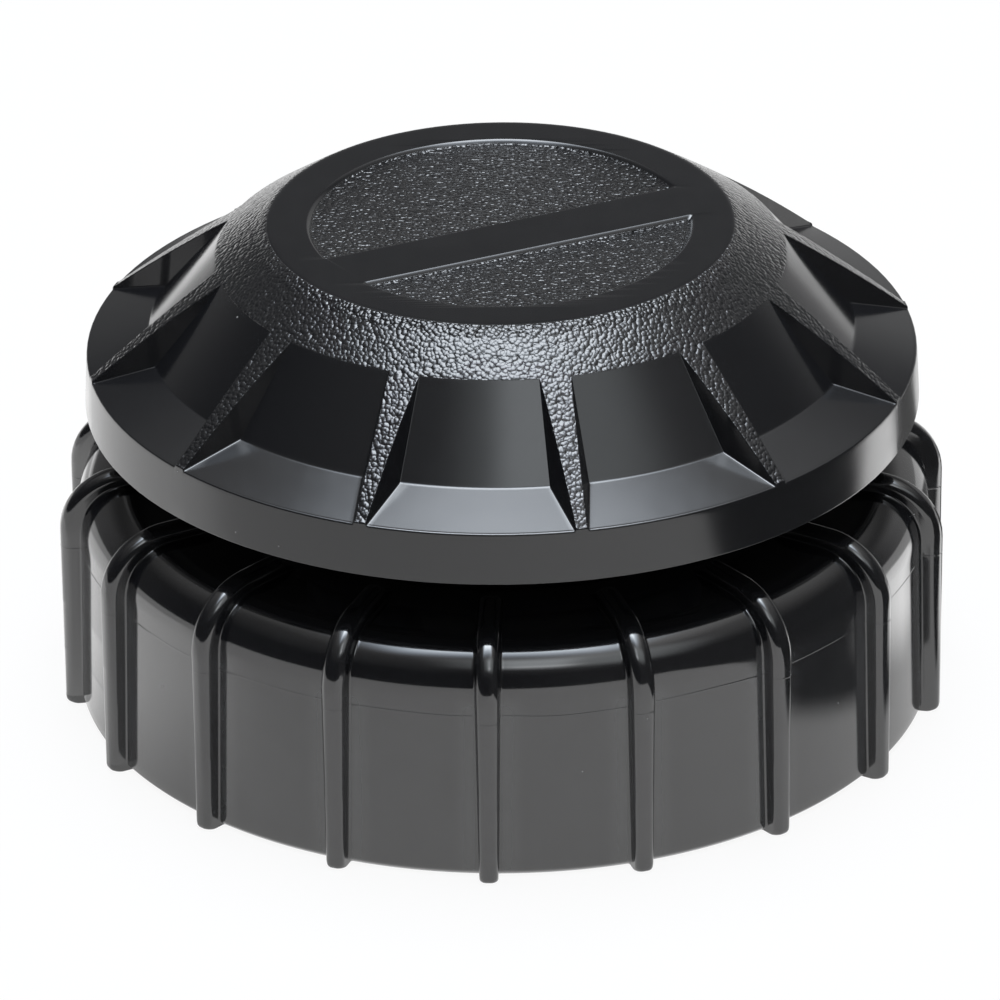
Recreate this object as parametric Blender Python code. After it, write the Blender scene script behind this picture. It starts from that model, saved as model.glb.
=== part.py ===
"""Vented top of an anti-siphon valve: ribbed screw collar, bonnet, float and hood.

All lengths are in metres, +Z is up. The origin lies on the axis, in the plane of
the collar's open rim, which the part stands on.
"""
import bmesh
import bpy
import math
from mathutils import Matrix, Vector

# Clearances
SEAT_GAP = 0.0003
NECK_CLEARANCE = 0.0006
THREAD_CLEARANCE = 0.0006
SHANK_CLEARANCE = 0.0003
CLIP_CLEARANCE = 0.00025

# Collar
RIM_RADIUS = 0.0300
COLLAR_DRAFT = 0.0002
COLLAR_HEIGHT = 0.0170
COLLAR_WALL = 0.0018
COLLAR_TOP_THICKNESS = 0.0024
SHOULDER_FILLET = 0.0035
RIM_CHAMFER = 0.0005
THREAD_DEPTH = 0.0011
COLLAR_EDGE_ROUND = 0.0004

# Grip ribs
RIB_COUNT = 18
RIB_WIDTH = 0.0017
RIB_FOOT_WIDTH = 0.0013
RIB_HEIGHT = 0.00105
RIB_SIDE_HEIGHT = 0.0014
RIB_FOOT_HEIGHT = 0.00116
RIB_FIRST_ANGLE = math.radians(-92.3)
RIB_END_INSET = 0.0020
RIB_END_HEIGHT = 0.00035
RIB_ROOT_DEPTH = 0.0006
RIB_FOOT_ROUND = 0.0003

# Bonnet
FLANGE_THICKNESS = 0.0023
SEALING_LAND = 0.0045
SPIGOT_WALL = 0.0032
SPIGOT_LENGTH = 0.0066
SPIGOT_CHAMFER = 0.0006
NECK_STEP = 0.0024
NECK_WALL = 0.0024
NECK_RISE = 0.0030
WEB_THICKNESS = 0.0022
PORT_RADIUS = 0.0085
SEAT_LIP_WIDTH = 0.0011
SEAT_LIP_HEIGHT = 0.0012
SPLASH_RIM_HEIGHT = 0.0010
SPLASH_RIM_WIDTH = 0.0009

# O-ring groove
O_RING_SECTION_RADIUS = 0.0010
GROOVE_DEPTH = 0.0015
GROOVE_MIDDLE_DROP = 0.0031

# Stem guide
GUIDE_ARM_COUNT = 4
GUIDE_ARM_FIRST_ANGLE = math.radians(45.0)
GUIDE_ARM_WIDTH = 0.0016
GUIDE_ARM_LIFT = 0.0004
GUIDE_WALL = 0.0012
GUIDE_RISE = 0.0020
ROOT_SINK = 0.0006

# Posts, bosses and hood screws
POST_COUNT = 4
POST_FIRST_ANGLE = math.radians(45.0)
POST_INSET = 0.0020
POST_WALL = 0.0011
POST_HEIGHT = 0.0064
POST_LAND = 0.0034
BOSS_WALL = 0.0018
PILOT_END_WALL = 0.0024
GUSSET_THICKNESS = 0.0012
GUSSET_FOOT_LIFT = 0.0012
SCREW_SHANK_RADIUS = 0.0014
SCREW_END_CLEARANCE = 0.0008
SCREW_HEAD_RADIUS = 0.0026
SCREW_HEAD_HEIGHT = 0.0017
SCREW_HEAD_CROWN = 0.0005
SCREW_POINT_LENGTH = 0.0014
SCREW_POINT_RADIUS = 0.0005

# Float
FLOAT_TRAVEL = 0.0040
FLOAT_OVERLAP = 0.0014
FLOAT_DISC_THICKNESS = 0.0020
FLOAT_RECESS_DEPTH = 0.0008
FLOAT_RIM_WIDTH = 0.0015
FLOAT_HUB_RADIUS = 0.0030
FLOAT_HUB_DROP = 0.0012
STEM_RADIUS = 0.0016
STEM_TIP_LENGTH = 0.0014
STEM_TIP_CHAMFER = 0.0004
SEAL_THICKNESS = 0.0016
RETAINER_THICKNESS = 0.0010
RETAINER_INSET = 0.0030
CLIP_THICKNESS = 0.0008
CLIP_GROOVE_DEPTH = 0.0005
CLIP_WIDTH = 0.0019
CLIP_OPENING = math.radians(80.0)

# Hood
SKIRT_RADIUS = 0.02904
SKIRT_DRAFT = 0.00018
SKIRT_HEIGHT = 0.0038
AIR_GAP = 0.0049
DOME_RISE = 0.0093
DOME_BULGE = 0.00032
HOOD_WALL = 0.0018
ROOF_THICKNESS = 0.0022

# Pockets and tongues
TONGUE_COUNT = 12
FIRST_TONGUE_ANGLE = math.radians(-79.5)
LEDGE_WIDTH = 0.0043
CREASE_LIFT = 0.0012
LEDGE_LIP = 0.00012
POCKET_FLOOR_RUN = 0.0048
DOME_BAND_WIDTH = 0.00356
TONGUE_TOP_WIDTH = 0.0022
TONGUE_TIP_WIDTH = 0.0008
TONGUE_CREASE_SPREAD = 0.0006
CUTTER_LIFT = 0.0008
CUTTER_LEAD = 0.0005

# Sunk fields on the flat top
RING_WIDTH = 0.0030
FIELD_DEPTH = 0.0003
BAND_ANGLE = math.radians(24.3)
BAND_LOWER_OFFSET = -0.00487
BAND_UPPER_OFFSET = -0.00009

# Facets
SHARP_ANGLE = math.radians(32.0)
MERGE_DISTANCE = 0.000002
COLLAR_SEGMENTS = 90
HOOD_SEGMENTS = 96
BONNET_SEGMENTS = 60
FLOAT_SEGMENTS = 36
SMALL_SEGMENTS = 20
SHOULDER_STEPS = 4
RIB_ROUND_STEPS = 4
POCKET_STEPS = 4
DOME_STEPS = 4
FIELD_STEPS = 24
O_RING_STEPS = 8
O_RING_SEGMENTS = 48

# Heights worked out from the sizes above
PLATE_UNDERSIDE = COLLAR_HEIGHT - COLLAR_TOP_THICKNESS
FLANGE_TOP = PLATE_UNDERSIDE - SEAT_GAP
FLANGE_BOTTOM = FLANGE_TOP - FLANGE_THICKNESS
WEB_TOP = COLLAR_HEIGHT + NECK_RISE
WEB_BOTTOM = WEB_TOP - WEB_THICKNESS
SEAT_HEIGHT = WEB_BOTTOM - SEAT_LIP_HEIGHT
GUIDE_TOP = WEB_TOP + GUIDE_RISE
GUIDE_BOTTOM = WEB_BOTTOM + GUIDE_ARM_LIFT
POST_TOP = WEB_TOP + POST_HEIGHT
SCREW_SEAT = POST_TOP - POST_LAND
BOSS_BOTTOM = POST_TOP + SEAT_GAP
SKIRT_BOTTOM = COLLAR_HEIGHT + AIR_GAP
SKIRT_TOP = SKIRT_BOTTOM + SKIRT_HEIGHT
CREASE_HEIGHT = SKIRT_TOP + CREASE_LIFT
HOOD_HEIGHT = SKIRT_TOP + DOME_RISE
FIELD_HEIGHT = HOOD_HEIGHT - FIELD_DEPTH
ROOF_UNDERSIDE = FIELD_HEIGHT - ROOF_THICKNESS
PILOT_END = FIELD_HEIGHT - PILOT_END_WALL
SEAL_TOP = SEAT_HEIGHT - SEAT_GAP - FLOAT_TRAVEL
SEAL_BOTTOM = SEAL_TOP - SEAL_THICKNESS
FLOAT_DISC_TOP = SEAL_BOTTOM - SEAT_GAP
FLOAT_DISC_BOTTOM = FLOAT_DISC_TOP - FLOAT_DISC_THICKNESS
RETAINER_BOTTOM = SEAL_TOP + SEAT_GAP
CLIP_BOTTOM = GUIDE_TOP + SEAT_GAP
CLIP_TOP = CLIP_BOTTOM + CLIP_THICKNESS

# Radii worked out from the sizes above
SHOULDER_START_RADIUS = RIM_RADIUS - COLLAR_DRAFT
THREAD_ROOT_RADIUS = RIM_RADIUS - COLLAR_WALL
FLANGE_RADIUS = THREAD_ROOT_RADIUS - THREAD_DEPTH - THREAD_CLEARANCE
SPIGOT_RADIUS = FLANGE_RADIUS - SEALING_LAND
NECK_RADIUS = SPIGOT_RADIUS - NECK_STEP
COLLAR_BORE_RADIUS = NECK_RADIUS + NECK_CLEARANCE
RIB_END_RADIUS = COLLAR_BORE_RADIUS + RIB_END_INSET
STEM_HOLE_RADIUS = STEM_RADIUS + SHANK_CLEARANCE
GUIDE_RADIUS = STEM_HOLE_RADIUS + GUIDE_WALL
SCREW_HOLE_RADIUS = SCREW_SHANK_RADIUS + SHANK_CLEARANCE
COUNTERBORE_RADIUS = SCREW_HEAD_RADIUS + SHANK_CLEARANCE
POST_RADIUS = COUNTERBORE_RADIUS + POST_WALL
POST_CIRCLE_RADIUS = NECK_RADIUS - POST_INSET - POST_RADIUS
BOSS_RADIUS = SCREW_HOLE_RADIUS + BOSS_WALL
GROOVE_RADIUS = SPIGOT_RADIUS - GROOVE_DEPTH
SEAT_LIP_RADIUS = PORT_RADIUS + SEAT_LIP_WIDTH
FLOAT_RADIUS = SEAT_LIP_RADIUS + FLOAT_OVERLAP
CLIP_GROOVE_RADIUS = STEM_RADIUS - CLIP_GROOVE_DEPTH
SKIRT_TOP_RADIUS = SKIRT_RADIUS - SKIRT_DRAFT
CREASE_RADIUS = SKIRT_TOP_RADIUS - LEDGE_WIDTH
POCKET_TOP_RADIUS = CREASE_RADIUS - POCKET_FLOOR_RUN
FLAT_TOP_RADIUS = POCKET_TOP_RADIUS - DOME_BAND_WIDTH
FIELD_RADIUS = FLAT_TOP_RADIUS - RING_WIDTH


def plastic(name, color, roughness, metallic=0.0):
    """Principled material with one colour."""
    finish = bpy.data.materials.new(name)
    finish.use_nodes = True
    shader = finish.node_tree.nodes["Principled BSDF"]
    shader.inputs["Base Color"].default_value = (*color, 1.0)
    shader.inputs["Roughness"].default_value = roughness
    shader.inputs["Metallic"].default_value = metallic
    finish.diffuse_color = (*color, 1.0)
    return finish


def polar(radius, angle, height):
    """Point at a radius and angle about the axis."""
    return Vector((radius * math.cos(angle), radius * math.sin(angle), height))


def arc(center, radius, start_degrees, end_degrees, steps):
    """Points of an arc in an outline, both ends included."""
    points = []
    for step in range(steps + 1):
        angle = math.radians(start_degrees + (end_degrees - start_degrees) * step / steps)
        points.append((center[0] + radius * math.cos(angle), center[1] + radius * math.sin(angle)))
    return points


def circle(center, radius, count):
    """Points of a whole circle in an outline."""
    return arc(center, radius, 0.0, 360.0 * (count - 1) / count, count - 1)


def add_object(name, shape, finish):
    """Object from a bmesh, with smooth shading between its sharp edges."""
    bmesh.ops.recalc_face_normals(shape, faces=shape.faces)
    mesh = bpy.data.meshes.new(name)
    shape.to_mesh(mesh)
    shape.free()
    mesh.shade_smooth()
    mesh.set_sharp_from_angle(angle=SHARP_ANGLE)
    if finish is not None:
        mesh.materials.append(finish)
    placed = bpy.data.objects.new(name, mesh)
    bpy.context.scene.collection.objects.link(placed)
    return placed


def combine(target, changes):
    """Join or cut the target with helper shapes, one after another, and keep the result."""
    for operation, tool in changes:
        change = target.modifiers.new(tool.name, "BOOLEAN")
        change.operation = operation
        change.solver = "EXACT"
        change.object = tool
    graph = bpy.context.evaluated_depsgraph_get()
    result = bpy.data.meshes.new_from_object(target.evaluated_get(graph))
    result.shade_smooth()
    result.set_sharp_from_angle(angle=SHARP_ANGLE)
    target.modifiers.clear()
    plain = target.data
    target.data = result
    result.name = target.name
    bpy.data.meshes.remove(plain)
    for _, tool in changes:
        bpy.data.objects.remove(tool)
    return target


def turned(outline, segments):
    """Solid of revolution about Z from a closed outline of (radius, height) points."""
    shape = bmesh.new()
    corners = [shape.verts.new((radius, 0.0, height)) for radius, height in outline]
    rim = [shape.edges.new((corners[i - 1], corners[i])) for i in range(len(corners))]
    on_axis = [edge for edge in rim if max(abs(v.co.x) for v in edge.verts) < MERGE_DISTANCE]
    for edge in on_axis:
        rim.remove(edge)
        shape.edges.remove(edge)
    bmesh.ops.spin(
        shape,
        geom=corners + rim,
        cent=(0.0, 0.0, 0.0),
        axis=(0.0, 0.0, 1.0),
        angle=math.tau,
        steps=segments,
        use_merge=True,
    )
    bmesh.ops.remove_doubles(shape, verts=shape.verts, dist=MERGE_DISTANCE)
    return shape


def loft(shape, rings, curved_ends=False):
    """Closed skin through rings of equally many points.

    A flat end is one face. A curved end is a strip between the ring's two long sides.
    """
    rows = [[shape.verts.new(point) for point in ring] for ring in rings]
    for lower, upper in zip(rows, rows[1:]):
        for i in range(len(lower)):
            shape.faces.new((lower[i - 1], lower[i], upper[i], upper[i - 1]))
    for row in (rows[0], rows[-1]):
        if not curved_ends:
            shape.faces.new(row)
            continue
        for i in range(len(row) // 2 - 1):
            shape.faces.new((row[i], row[i + 1], row[-2 - i], row[-1 - i]))


def prism(shape, outline, bottom, top):
    """Upright prism on an outline of (x, y) points."""
    loft(shape, [[Vector((x, y, height)) for x, y in outline] for height in (bottom, top)])


def cylinder(shape, radius, center, bottom, top, segments=SMALL_SEGMENTS):
    """Upright cylinder."""
    prism(shape, circle(center, radius, segments), bottom, top)


def post_centers():
    """Places of the posts about the axis."""
    for index in range(POST_COUNT):
        angle = POST_FIRST_ANGLE + math.tau * index / POST_COUNT
        yield angle, polar(POST_CIRCLE_RADIUS, angle, 0.0)


def collar_outline():
    """Section of the collar: wall, rounded shoulder and top plate."""
    shoulder_center = (
        SHOULDER_START_RADIUS - SHOULDER_FILLET,
        COLLAR_HEIGHT - SHOULDER_FILLET,
    )
    edge_center = (COLLAR_BORE_RADIUS + COLLAR_EDGE_ROUND, COLLAR_HEIGHT - COLLAR_EDGE_ROUND)
    outline = [
        (THREAD_ROOT_RADIUS, 0.0),
        (RIM_RADIUS - RIM_CHAMFER, 0.0),
        (RIM_RADIUS, RIM_CHAMFER),
    ]
    outline += arc(shoulder_center, SHOULDER_FILLET, 0.0, 90.0, SHOULDER_STEPS)
    outline += arc(edge_center, COLLAR_EDGE_ROUND, 90.0, 180.0, 2)
    outline += [(COLLAR_BORE_RADIUS, PLATE_UNDERSIDE), (THREAD_ROOT_RADIUS, PLATE_UNDERSIDE)]
    return outline


def rib_path():
    """Crest line of a grip rib as (radius, height, outward degrees, rib width)."""
    center = (SHOULDER_START_RADIUS - SHOULDER_FILLET, COLLAR_HEIGHT - SHOULDER_FILLET)
    foot = RIM_RADIUS + RIB_FOOT_HEIGHT
    path = [(foot - RIB_FOOT_ROUND, 0.0, 0.0, RIB_FOOT_WIDTH)]
    path.append((foot, RIB_FOOT_ROUND, 0.0, RIB_FOOT_WIDTH))
    for step in range(SHOULDER_STEPS + 1):
        degrees = 90.0 * step / SHOULDER_STEPS
        turn = math.radians(degrees)
        radius = center[0] + (SHOULDER_FILLET + RIB_SIDE_HEIGHT) * math.cos(turn)
        height = center[1] + (SHOULDER_FILLET + RIB_HEIGHT) * math.sin(turn)
        path.append((radius, height, degrees, RIB_WIDTH))
    end = COLLAR_HEIGHT + RIB_END_HEIGHT
    path.append((RIB_END_RADIUS + RIB_HEIGHT, COLLAR_HEIGHT + RIB_HEIGHT, 90.0, RIB_WIDTH))
    path.append((RIB_END_RADIUS, end, 90.0, RIB_WIDTH))
    return path


def rib_section(width):
    """Half-round rib section of a width as (sideways, outward) points from its crest."""
    half = width / 2
    root = -(RIB_SIDE_HEIGHT + RIB_ROOT_DEPTH)
    crown = arc((0.0, -half), half, 180.0, 0.0, RIB_ROUND_STEPS)
    return [(-half, root)] + crown + [(half, root)]


def build_ribs():
    """All grip ribs, rooted in the collar's wall."""
    shape = bmesh.new()
    for index in range(RIB_COUNT):
        turn = Matrix.Rotation(RIB_FIRST_ANGLE + math.tau * index / RIB_COUNT, 3, "Z")
        rings = []
        for radius, height, degrees, width in rib_path():
            lean = math.radians(degrees)
            outward = Vector((math.cos(lean), 0.0, math.sin(lean)))
            crest = Vector((radius, 0.0, height))
            ring = []
            for sideways, out in rib_section(width):
                point = crest + outward * out + Vector((0.0, sideways, 0.0))
                ring.append(turn @ point)
            rings.append(ring)
        loft(shape, rings)
    return add_object("rib_form", shape, None)


def build_collar(finish):
    """Screw collar with its grip ribs."""
    collar = add_object("collar", turned(collar_outline(), COLLAR_SEGMENTS), finish)
    return combine(collar, [("UNION", build_ribs())])


def bonnet_outline():
    """Section of the bonnet: spigot, flange, neck, web, port and seat lip."""
    spigot_bottom = FLANGE_BOTTOM - SPIGOT_LENGTH
    groove_middle = FLANGE_BOTTOM - GROOVE_MIDDLE_DROP
    groove_half = O_RING_SECTION_RADIUS + SEAT_GAP
    neck_bore = NECK_RADIUS - NECK_WALL
    return [
        (SPIGOT_RADIUS - SPIGOT_WALL, spigot_bottom),
        (SPIGOT_RADIUS - SPIGOT_CHAMFER, spigot_bottom),
        (SPIGOT_RADIUS, spigot_bottom + SPIGOT_CHAMFER),
        (SPIGOT_RADIUS, groove_middle - groove_half),
        (GROOVE_RADIUS, groove_middle - groove_half),
        (GROOVE_RADIUS, groove_middle + groove_half),
        (SPIGOT_RADIUS, groove_middle + groove_half),
        (SPIGOT_RADIUS, FLANGE_BOTTOM),
        (FLANGE_RADIUS, FLANGE_BOTTOM),
        (FLANGE_RADIUS, FLANGE_TOP),
        (NECK_RADIUS, FLANGE_TOP),
        (NECK_RADIUS, WEB_TOP - SPIGOT_CHAMFER),
        (NECK_RADIUS - SPIGOT_CHAMFER, WEB_TOP),
        (PORT_RADIUS + SPLASH_RIM_WIDTH, WEB_TOP),
        (PORT_RADIUS + SPLASH_RIM_WIDTH, WEB_TOP + SPLASH_RIM_HEIGHT),
        (PORT_RADIUS, WEB_TOP + SPLASH_RIM_HEIGHT),
        (PORT_RADIUS, SEAT_HEIGHT),
        (SEAT_LIP_RADIUS, SEAT_HEIGHT),
        (SEAT_LIP_RADIUS, WEB_BOTTOM),
        (neck_bore, WEB_BOTTOM),
        (neck_bore, FLANGE_BOTTOM),
        (SPIGOT_RADIUS - SPIGOT_WALL, FLANGE_BOTTOM - (SPIGOT_WALL - NECK_WALL)),
    ]


def build_posts():
    """Four posts, rooted in the web."""
    shape = bmesh.new()
    for _, center in post_centers():
        cylinder(shape, POST_RADIUS, center, WEB_BOTTOM + ROOT_SINK, POST_TOP)
    return add_object("post_form", shape, None)


def build_guide_tube():
    """Tube that guides the float's stem."""
    shape = bmesh.new()
    cylinder(shape, GUIDE_RADIUS, (0.0, 0.0), GUIDE_BOTTOM, GUIDE_TOP)
    return add_object("guide_form", shape, None)


def build_guide_arms():
    """Arms that carry the guide tube across the air port."""
    shape = bmesh.new()
    half = GUIDE_ARM_WIDTH / 2
    start = GUIDE_RADIUS - ROOT_SINK
    end = PORT_RADIUS + ROOT_SINK
    for index in range(GUIDE_ARM_COUNT):
        turn = Matrix.Rotation(GUIDE_ARM_FIRST_ANGLE + math.tau * index / GUIDE_ARM_COUNT, 2)
        plan = [(start, -half), (end, -half), (end, half), (start, half)]
        prism(shape, [turn @ Vector(point) for point in plan], GUIDE_BOTTOM, WEB_TOP - ROOT_SINK)
    return add_object("arm_form", shape, None)


def build_bonnet_drill():
    """Stem hole, screw holes and counterbores."""
    shape = turned(
        [
            (0.0, GUIDE_BOTTOM - SEAT_GAP),
            (STEM_HOLE_RADIUS, GUIDE_BOTTOM - SEAT_GAP),
            (STEM_HOLE_RADIUS, GUIDE_TOP + SEAT_GAP),
            (0.0, GUIDE_TOP + SEAT_GAP),
        ],
        SMALL_SEGMENTS,
    )
    step = [
        (0.0, WEB_BOTTOM - SEAT_GAP),
        (COUNTERBORE_RADIUS, WEB_BOTTOM - SEAT_GAP),
        (COUNTERBORE_RADIUS, SCREW_SEAT),
        (SCREW_HOLE_RADIUS, SCREW_SEAT),
        (SCREW_HOLE_RADIUS, POST_TOP + SEAT_GAP),
        (0.0, POST_TOP + SEAT_GAP),
    ]
    for _, center in post_centers():
        drill = turned(step, SMALL_SEGMENTS)
        bmesh.ops.translate(drill, verts=drill.verts, vec=center)
        merged = bpy.data.meshes.new("drill_part")
        drill.to_mesh(merged)
        drill.free()
        shape.from_mesh(merged)
        bpy.data.meshes.remove(merged)
    return add_object("bonnet_drill", shape, None)


def build_bonnet(finish):
    """Bonnet with posts, guide and drillings."""
    bonnet = add_object("bonnet", turned(bonnet_outline(), BONNET_SEGMENTS), finish)
    changes = [
        ("UNION", build_posts()),
        ("UNION", build_guide_tube()),
        ("UNION", build_guide_arms()),
        ("DIFFERENCE", build_bonnet_drill()),
    ]
    return combine(bonnet, changes)


def dome_height(radius):
    """Height of the dome, a chord from the flat top to the skirt with a slight bulge."""
    share = (radius - FLAT_TOP_RADIUS) / (SKIRT_TOP_RADIUS - FLAT_TOP_RADIUS)
    chord = HOOD_HEIGHT + (SKIRT_TOP - HOOD_HEIGHT) * share
    return chord + 4.0 * DOME_BULGE * share * (1.0 - share)


def pocket_floor_radius(height):
    """Radius at which the steep part of a pocket's floor has a height."""
    fall = dome_height(POCKET_TOP_RADIUS) - CREASE_HEIGHT
    return CREASE_RADIUS - (height - CREASE_HEIGHT) * POCKET_FLOOR_RUN / fall


def hood_outline():
    """Section of the hood before its pockets are sunk."""
    pocket_top = dome_height(POCKET_TOP_RADIUS)
    slope = math.atan2(pocket_top - CREASE_HEIGHT, POCKET_FLOOR_RUN)
    inward = Vector((-math.sin(slope), -math.cos(slope))) * HOOD_WALL
    high = Vector((POCKET_TOP_RADIUS, pocket_top)) + inward
    low = Vector((CREASE_RADIUS, CREASE_HEIGHT)) + inward
    outline = [(0.0, HOOD_HEIGHT), (0.0, ROOF_UNDERSIDE)]
    outline.append((FLAT_TOP_RADIUS, ROOF_UNDERSIDE))
    outline.append(tuple(high))
    outline.append(tuple(low))
    outline.append((SKIRT_RADIUS - HOOD_WALL, SKIRT_TOP - HOOD_WALL))
    outline.append((SKIRT_RADIUS - HOOD_WALL, SKIRT_BOTTOM))
    outline.append((SKIRT_RADIUS, SKIRT_BOTTOM))
    for step in range(DOME_STEPS + 1):
        radius = SKIRT_TOP_RADIUS + (FLAT_TOP_RADIUS - SKIRT_TOP_RADIUS) * step / DOME_STEPS
        outline.append((radius, dome_height(radius)))
    return outline


def tongue_side(radius, height):
    """Half width of a tongue at a place on its drafted side wall.

    The wall is the plane through the tongue's top corner, its tip and the crease.
    """
    top = Vector((POCKET_TOP_RADIUS, dome_height(POCKET_TOP_RADIUS), TONGUE_TOP_WIDTH / 2))
    tip = Vector((SKIRT_TOP_RADIUS, SKIRT_TOP, TONGUE_TIP_WIDTH / 2))
    share = POCKET_FLOOR_RUN / (POCKET_FLOOR_RUN + LEDGE_WIDTH)
    width_at_crease = TONGUE_TOP_WIDTH + (TONGUE_TIP_WIDTH - TONGUE_TOP_WIDTH) * share
    foot = Vector((CREASE_RADIUS, CREASE_HEIGHT, width_at_crease / 2 + TONGUE_CREASE_SPREAD))
    normal = (tip - top).cross(foot - top)
    return top.z - (normal.x * (radius - top.x) + normal.y * (height - top.y)) / normal.z


def pocket_ring(radius, floor, lid, middle_angle):
    """Closed ring of a pocket cutter at one radius, from tongue to tongue."""
    half_pitch = math.pi / TONGUE_COUNT
    ring = []
    for height, direction in ((floor, 1.0), (lid, -1.0)):
        reach = half_pitch - math.asin(tongue_side(radius, height) / radius)
        for step in range(POCKET_STEPS + 1):
            across = direction * reach * (2.0 * step / POCKET_STEPS - 1.0)
            ring.append(polar(radius, middle_angle + across, height))
    return ring


def build_pocket_cutter():
    """Twelve pocket shapes between the tongues."""
    pocket_top = dome_height(POCKET_TOP_RADIUS)
    fall = (pocket_top - CREASE_HEIGHT) / POCKET_FLOOR_RUN
    start = POCKET_TOP_RADIUS - CUTTER_LEAD
    end = SKIRT_RADIUS + CUTTER_LEAD
    ledge_fall = (CREASE_LIFT + LEDGE_LIP) / LEDGE_WIDTH
    floors = (
        (start, pocket_top + CUTTER_LEAD * fall),
        (CREASE_RADIUS, CREASE_HEIGHT),
        (end, CREASE_HEIGHT - ledge_fall * (end - CREASE_RADIUS)),
    )
    shape = bmesh.new()
    for index in range(TONGUE_COUNT):
        middle_angle = FIRST_TONGUE_ANGLE + math.tau * (index + 0.5) / TONGUE_COUNT
        rings = []
        for radius, floor in floors:
            rings.append(pocket_ring(radius, floor, dome_height(radius) + CUTTER_LIFT, middle_angle))
        loft(shape, rings, curved_ends=True)
    return add_object("pocket_cutter", shape, None)


def build_field_cutter():
    """Two circle segments, one on each side of the smooth band."""
    shape = bmesh.new()
    across = Matrix.Rotation(BAND_ANGLE, 2)
    for offset, side in ((BAND_LOWER_OFFSET, -1.0), (BAND_UPPER_OFFSET, 1.0)):
        start = math.degrees(math.asin(offset / FIELD_RADIUS))
        outline = arc((0.0, 0.0), FIELD_RADIUS, start, side * 180.0 - start, FIELD_STEPS)
        outline = [across @ Vector(point) for point in outline]
        prism(shape, outline, FIELD_HEIGHT, HOOD_HEIGHT + FIELD_DEPTH)
    return add_object("field_cutter", shape, None)


def build_bosses():
    """Screw bosses under the hood's roof."""
    shape = bmesh.new()
    for _, center in post_centers():
        cylinder(shape, BOSS_RADIUS, center, BOSS_BOTTOM, ROOF_UNDERSIDE + SEAT_GAP)
    return add_object("boss_form", shape, None)


def build_gussets():
    """Thin webs from each boss to the hood's cone."""
    shape = bmesh.new()
    half = GUSSET_THICKNESS / 2
    start = POST_CIRCLE_RADIUS + BOSS_RADIUS - SEAT_GAP
    low = BOSS_BOTTOM + GUSSET_FOOT_LIFT
    for angle, _ in post_centers():
        turn = Matrix.Rotation(angle, 3, "Z")
        profile = (
            (start, low),
            (pocket_floor_radius(low) - HOOD_WALL / 2, low),
            (FLAT_TOP_RADIUS + HOOD_WALL, ROOF_UNDERSIDE),
            (start, ROOF_UNDERSIDE),
        )
        sides = (-half, half)
        rings = [[turn @ Vector((radius, y, z)) for radius, z in profile] for y in sides]
        loft(shape, rings)
    return add_object("gusset_form", shape, None)


def build_hood_drill():
    """Blind pilot holes in the bosses."""
    shape = bmesh.new()
    for _, center in post_centers():
        cylinder(shape, SCREW_HOLE_RADIUS, center, BOSS_BOTTOM - SEAT_GAP, PILOT_END)
    return add_object("hood_drill", shape, None)


def build_hood(finish):
    """Hood with its pockets, sunk fields and screw bosses."""
    hood = add_object("hood", turned(hood_outline(), HOOD_SEGMENTS), finish)
    changes = [
        ("DIFFERENCE", build_pocket_cutter()),
        ("DIFFERENCE", build_field_cutter()),
        ("UNION", build_bosses()),
        ("UNION", build_gussets()),
        ("DIFFERENCE", build_hood_drill()),
    ]
    return combine(hood, changes)


def build_screws(finish):
    """One self-tapping screw up through each post."""
    bearing = SCREW_SEAT - SEAT_GAP
    head_bottom = bearing - SCREW_HEAD_HEIGHT
    tip = PILOT_END - SCREW_END_CLEARANCE
    outline = [
        (0.0, head_bottom),
        (SCREW_HEAD_RADIUS - SCREW_HEAD_CROWN, head_bottom),
        (SCREW_HEAD_RADIUS, head_bottom + SCREW_HEAD_CROWN),
        (SCREW_HEAD_RADIUS, bearing),
        (SCREW_SHANK_RADIUS, bearing),
        (SCREW_SHANK_RADIUS, tip - SCREW_POINT_LENGTH),
        (SCREW_POINT_RADIUS, tip),
        (0.0, tip),
    ]
    screws = []
    for number, (_, center) in enumerate(post_centers(), start=1):
        screw = add_object(f"hood_screw_{number}", turned(outline, SMALL_SEGMENTS), finish)
        screw.location = center
        screws.append(screw)
    return screws


def build_float(finish):
    """Float disc with its guide stem."""
    bore_top = RETAINER_BOTTOM - SEAT_GAP
    groove_low = CLIP_BOTTOM - CLIP_CLEARANCE
    groove_high = CLIP_TOP + CLIP_CLEARANCE
    tip = groove_high + STEM_TIP_LENGTH
    recess = FLOAT_DISC_BOTTOM + FLOAT_RECESS_DEPTH
    outline = [
        (0.0, FLOAT_DISC_BOTTOM - FLOAT_HUB_DROP),
        (FLOAT_HUB_RADIUS, FLOAT_DISC_BOTTOM - FLOAT_HUB_DROP),
        (FLOAT_HUB_RADIUS, recess),
        (FLOAT_RADIUS - FLOAT_RIM_WIDTH, recess),
        (FLOAT_RADIUS - FLOAT_RIM_WIDTH, FLOAT_DISC_BOTTOM),
        (FLOAT_RADIUS, FLOAT_DISC_BOTTOM),
        (FLOAT_RADIUS, FLOAT_DISC_TOP),
        (FLOAT_HUB_RADIUS, FLOAT_DISC_TOP),
        (FLOAT_HUB_RADIUS, bore_top),
        (STEM_RADIUS, bore_top),
        (STEM_RADIUS, groove_low),
        (CLIP_GROOVE_RADIUS, groove_low),
        (CLIP_GROOVE_RADIUS, groove_high),
        (STEM_RADIUS, groove_high),
        (STEM_RADIUS, tip - STEM_TIP_CHAMFER),
        (STEM_RADIUS - STEM_TIP_CHAMFER, tip),
        (0.0, tip),
    ]
    return add_object("float", turned(outline, FLOAT_SEGMENTS), finish)


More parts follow.
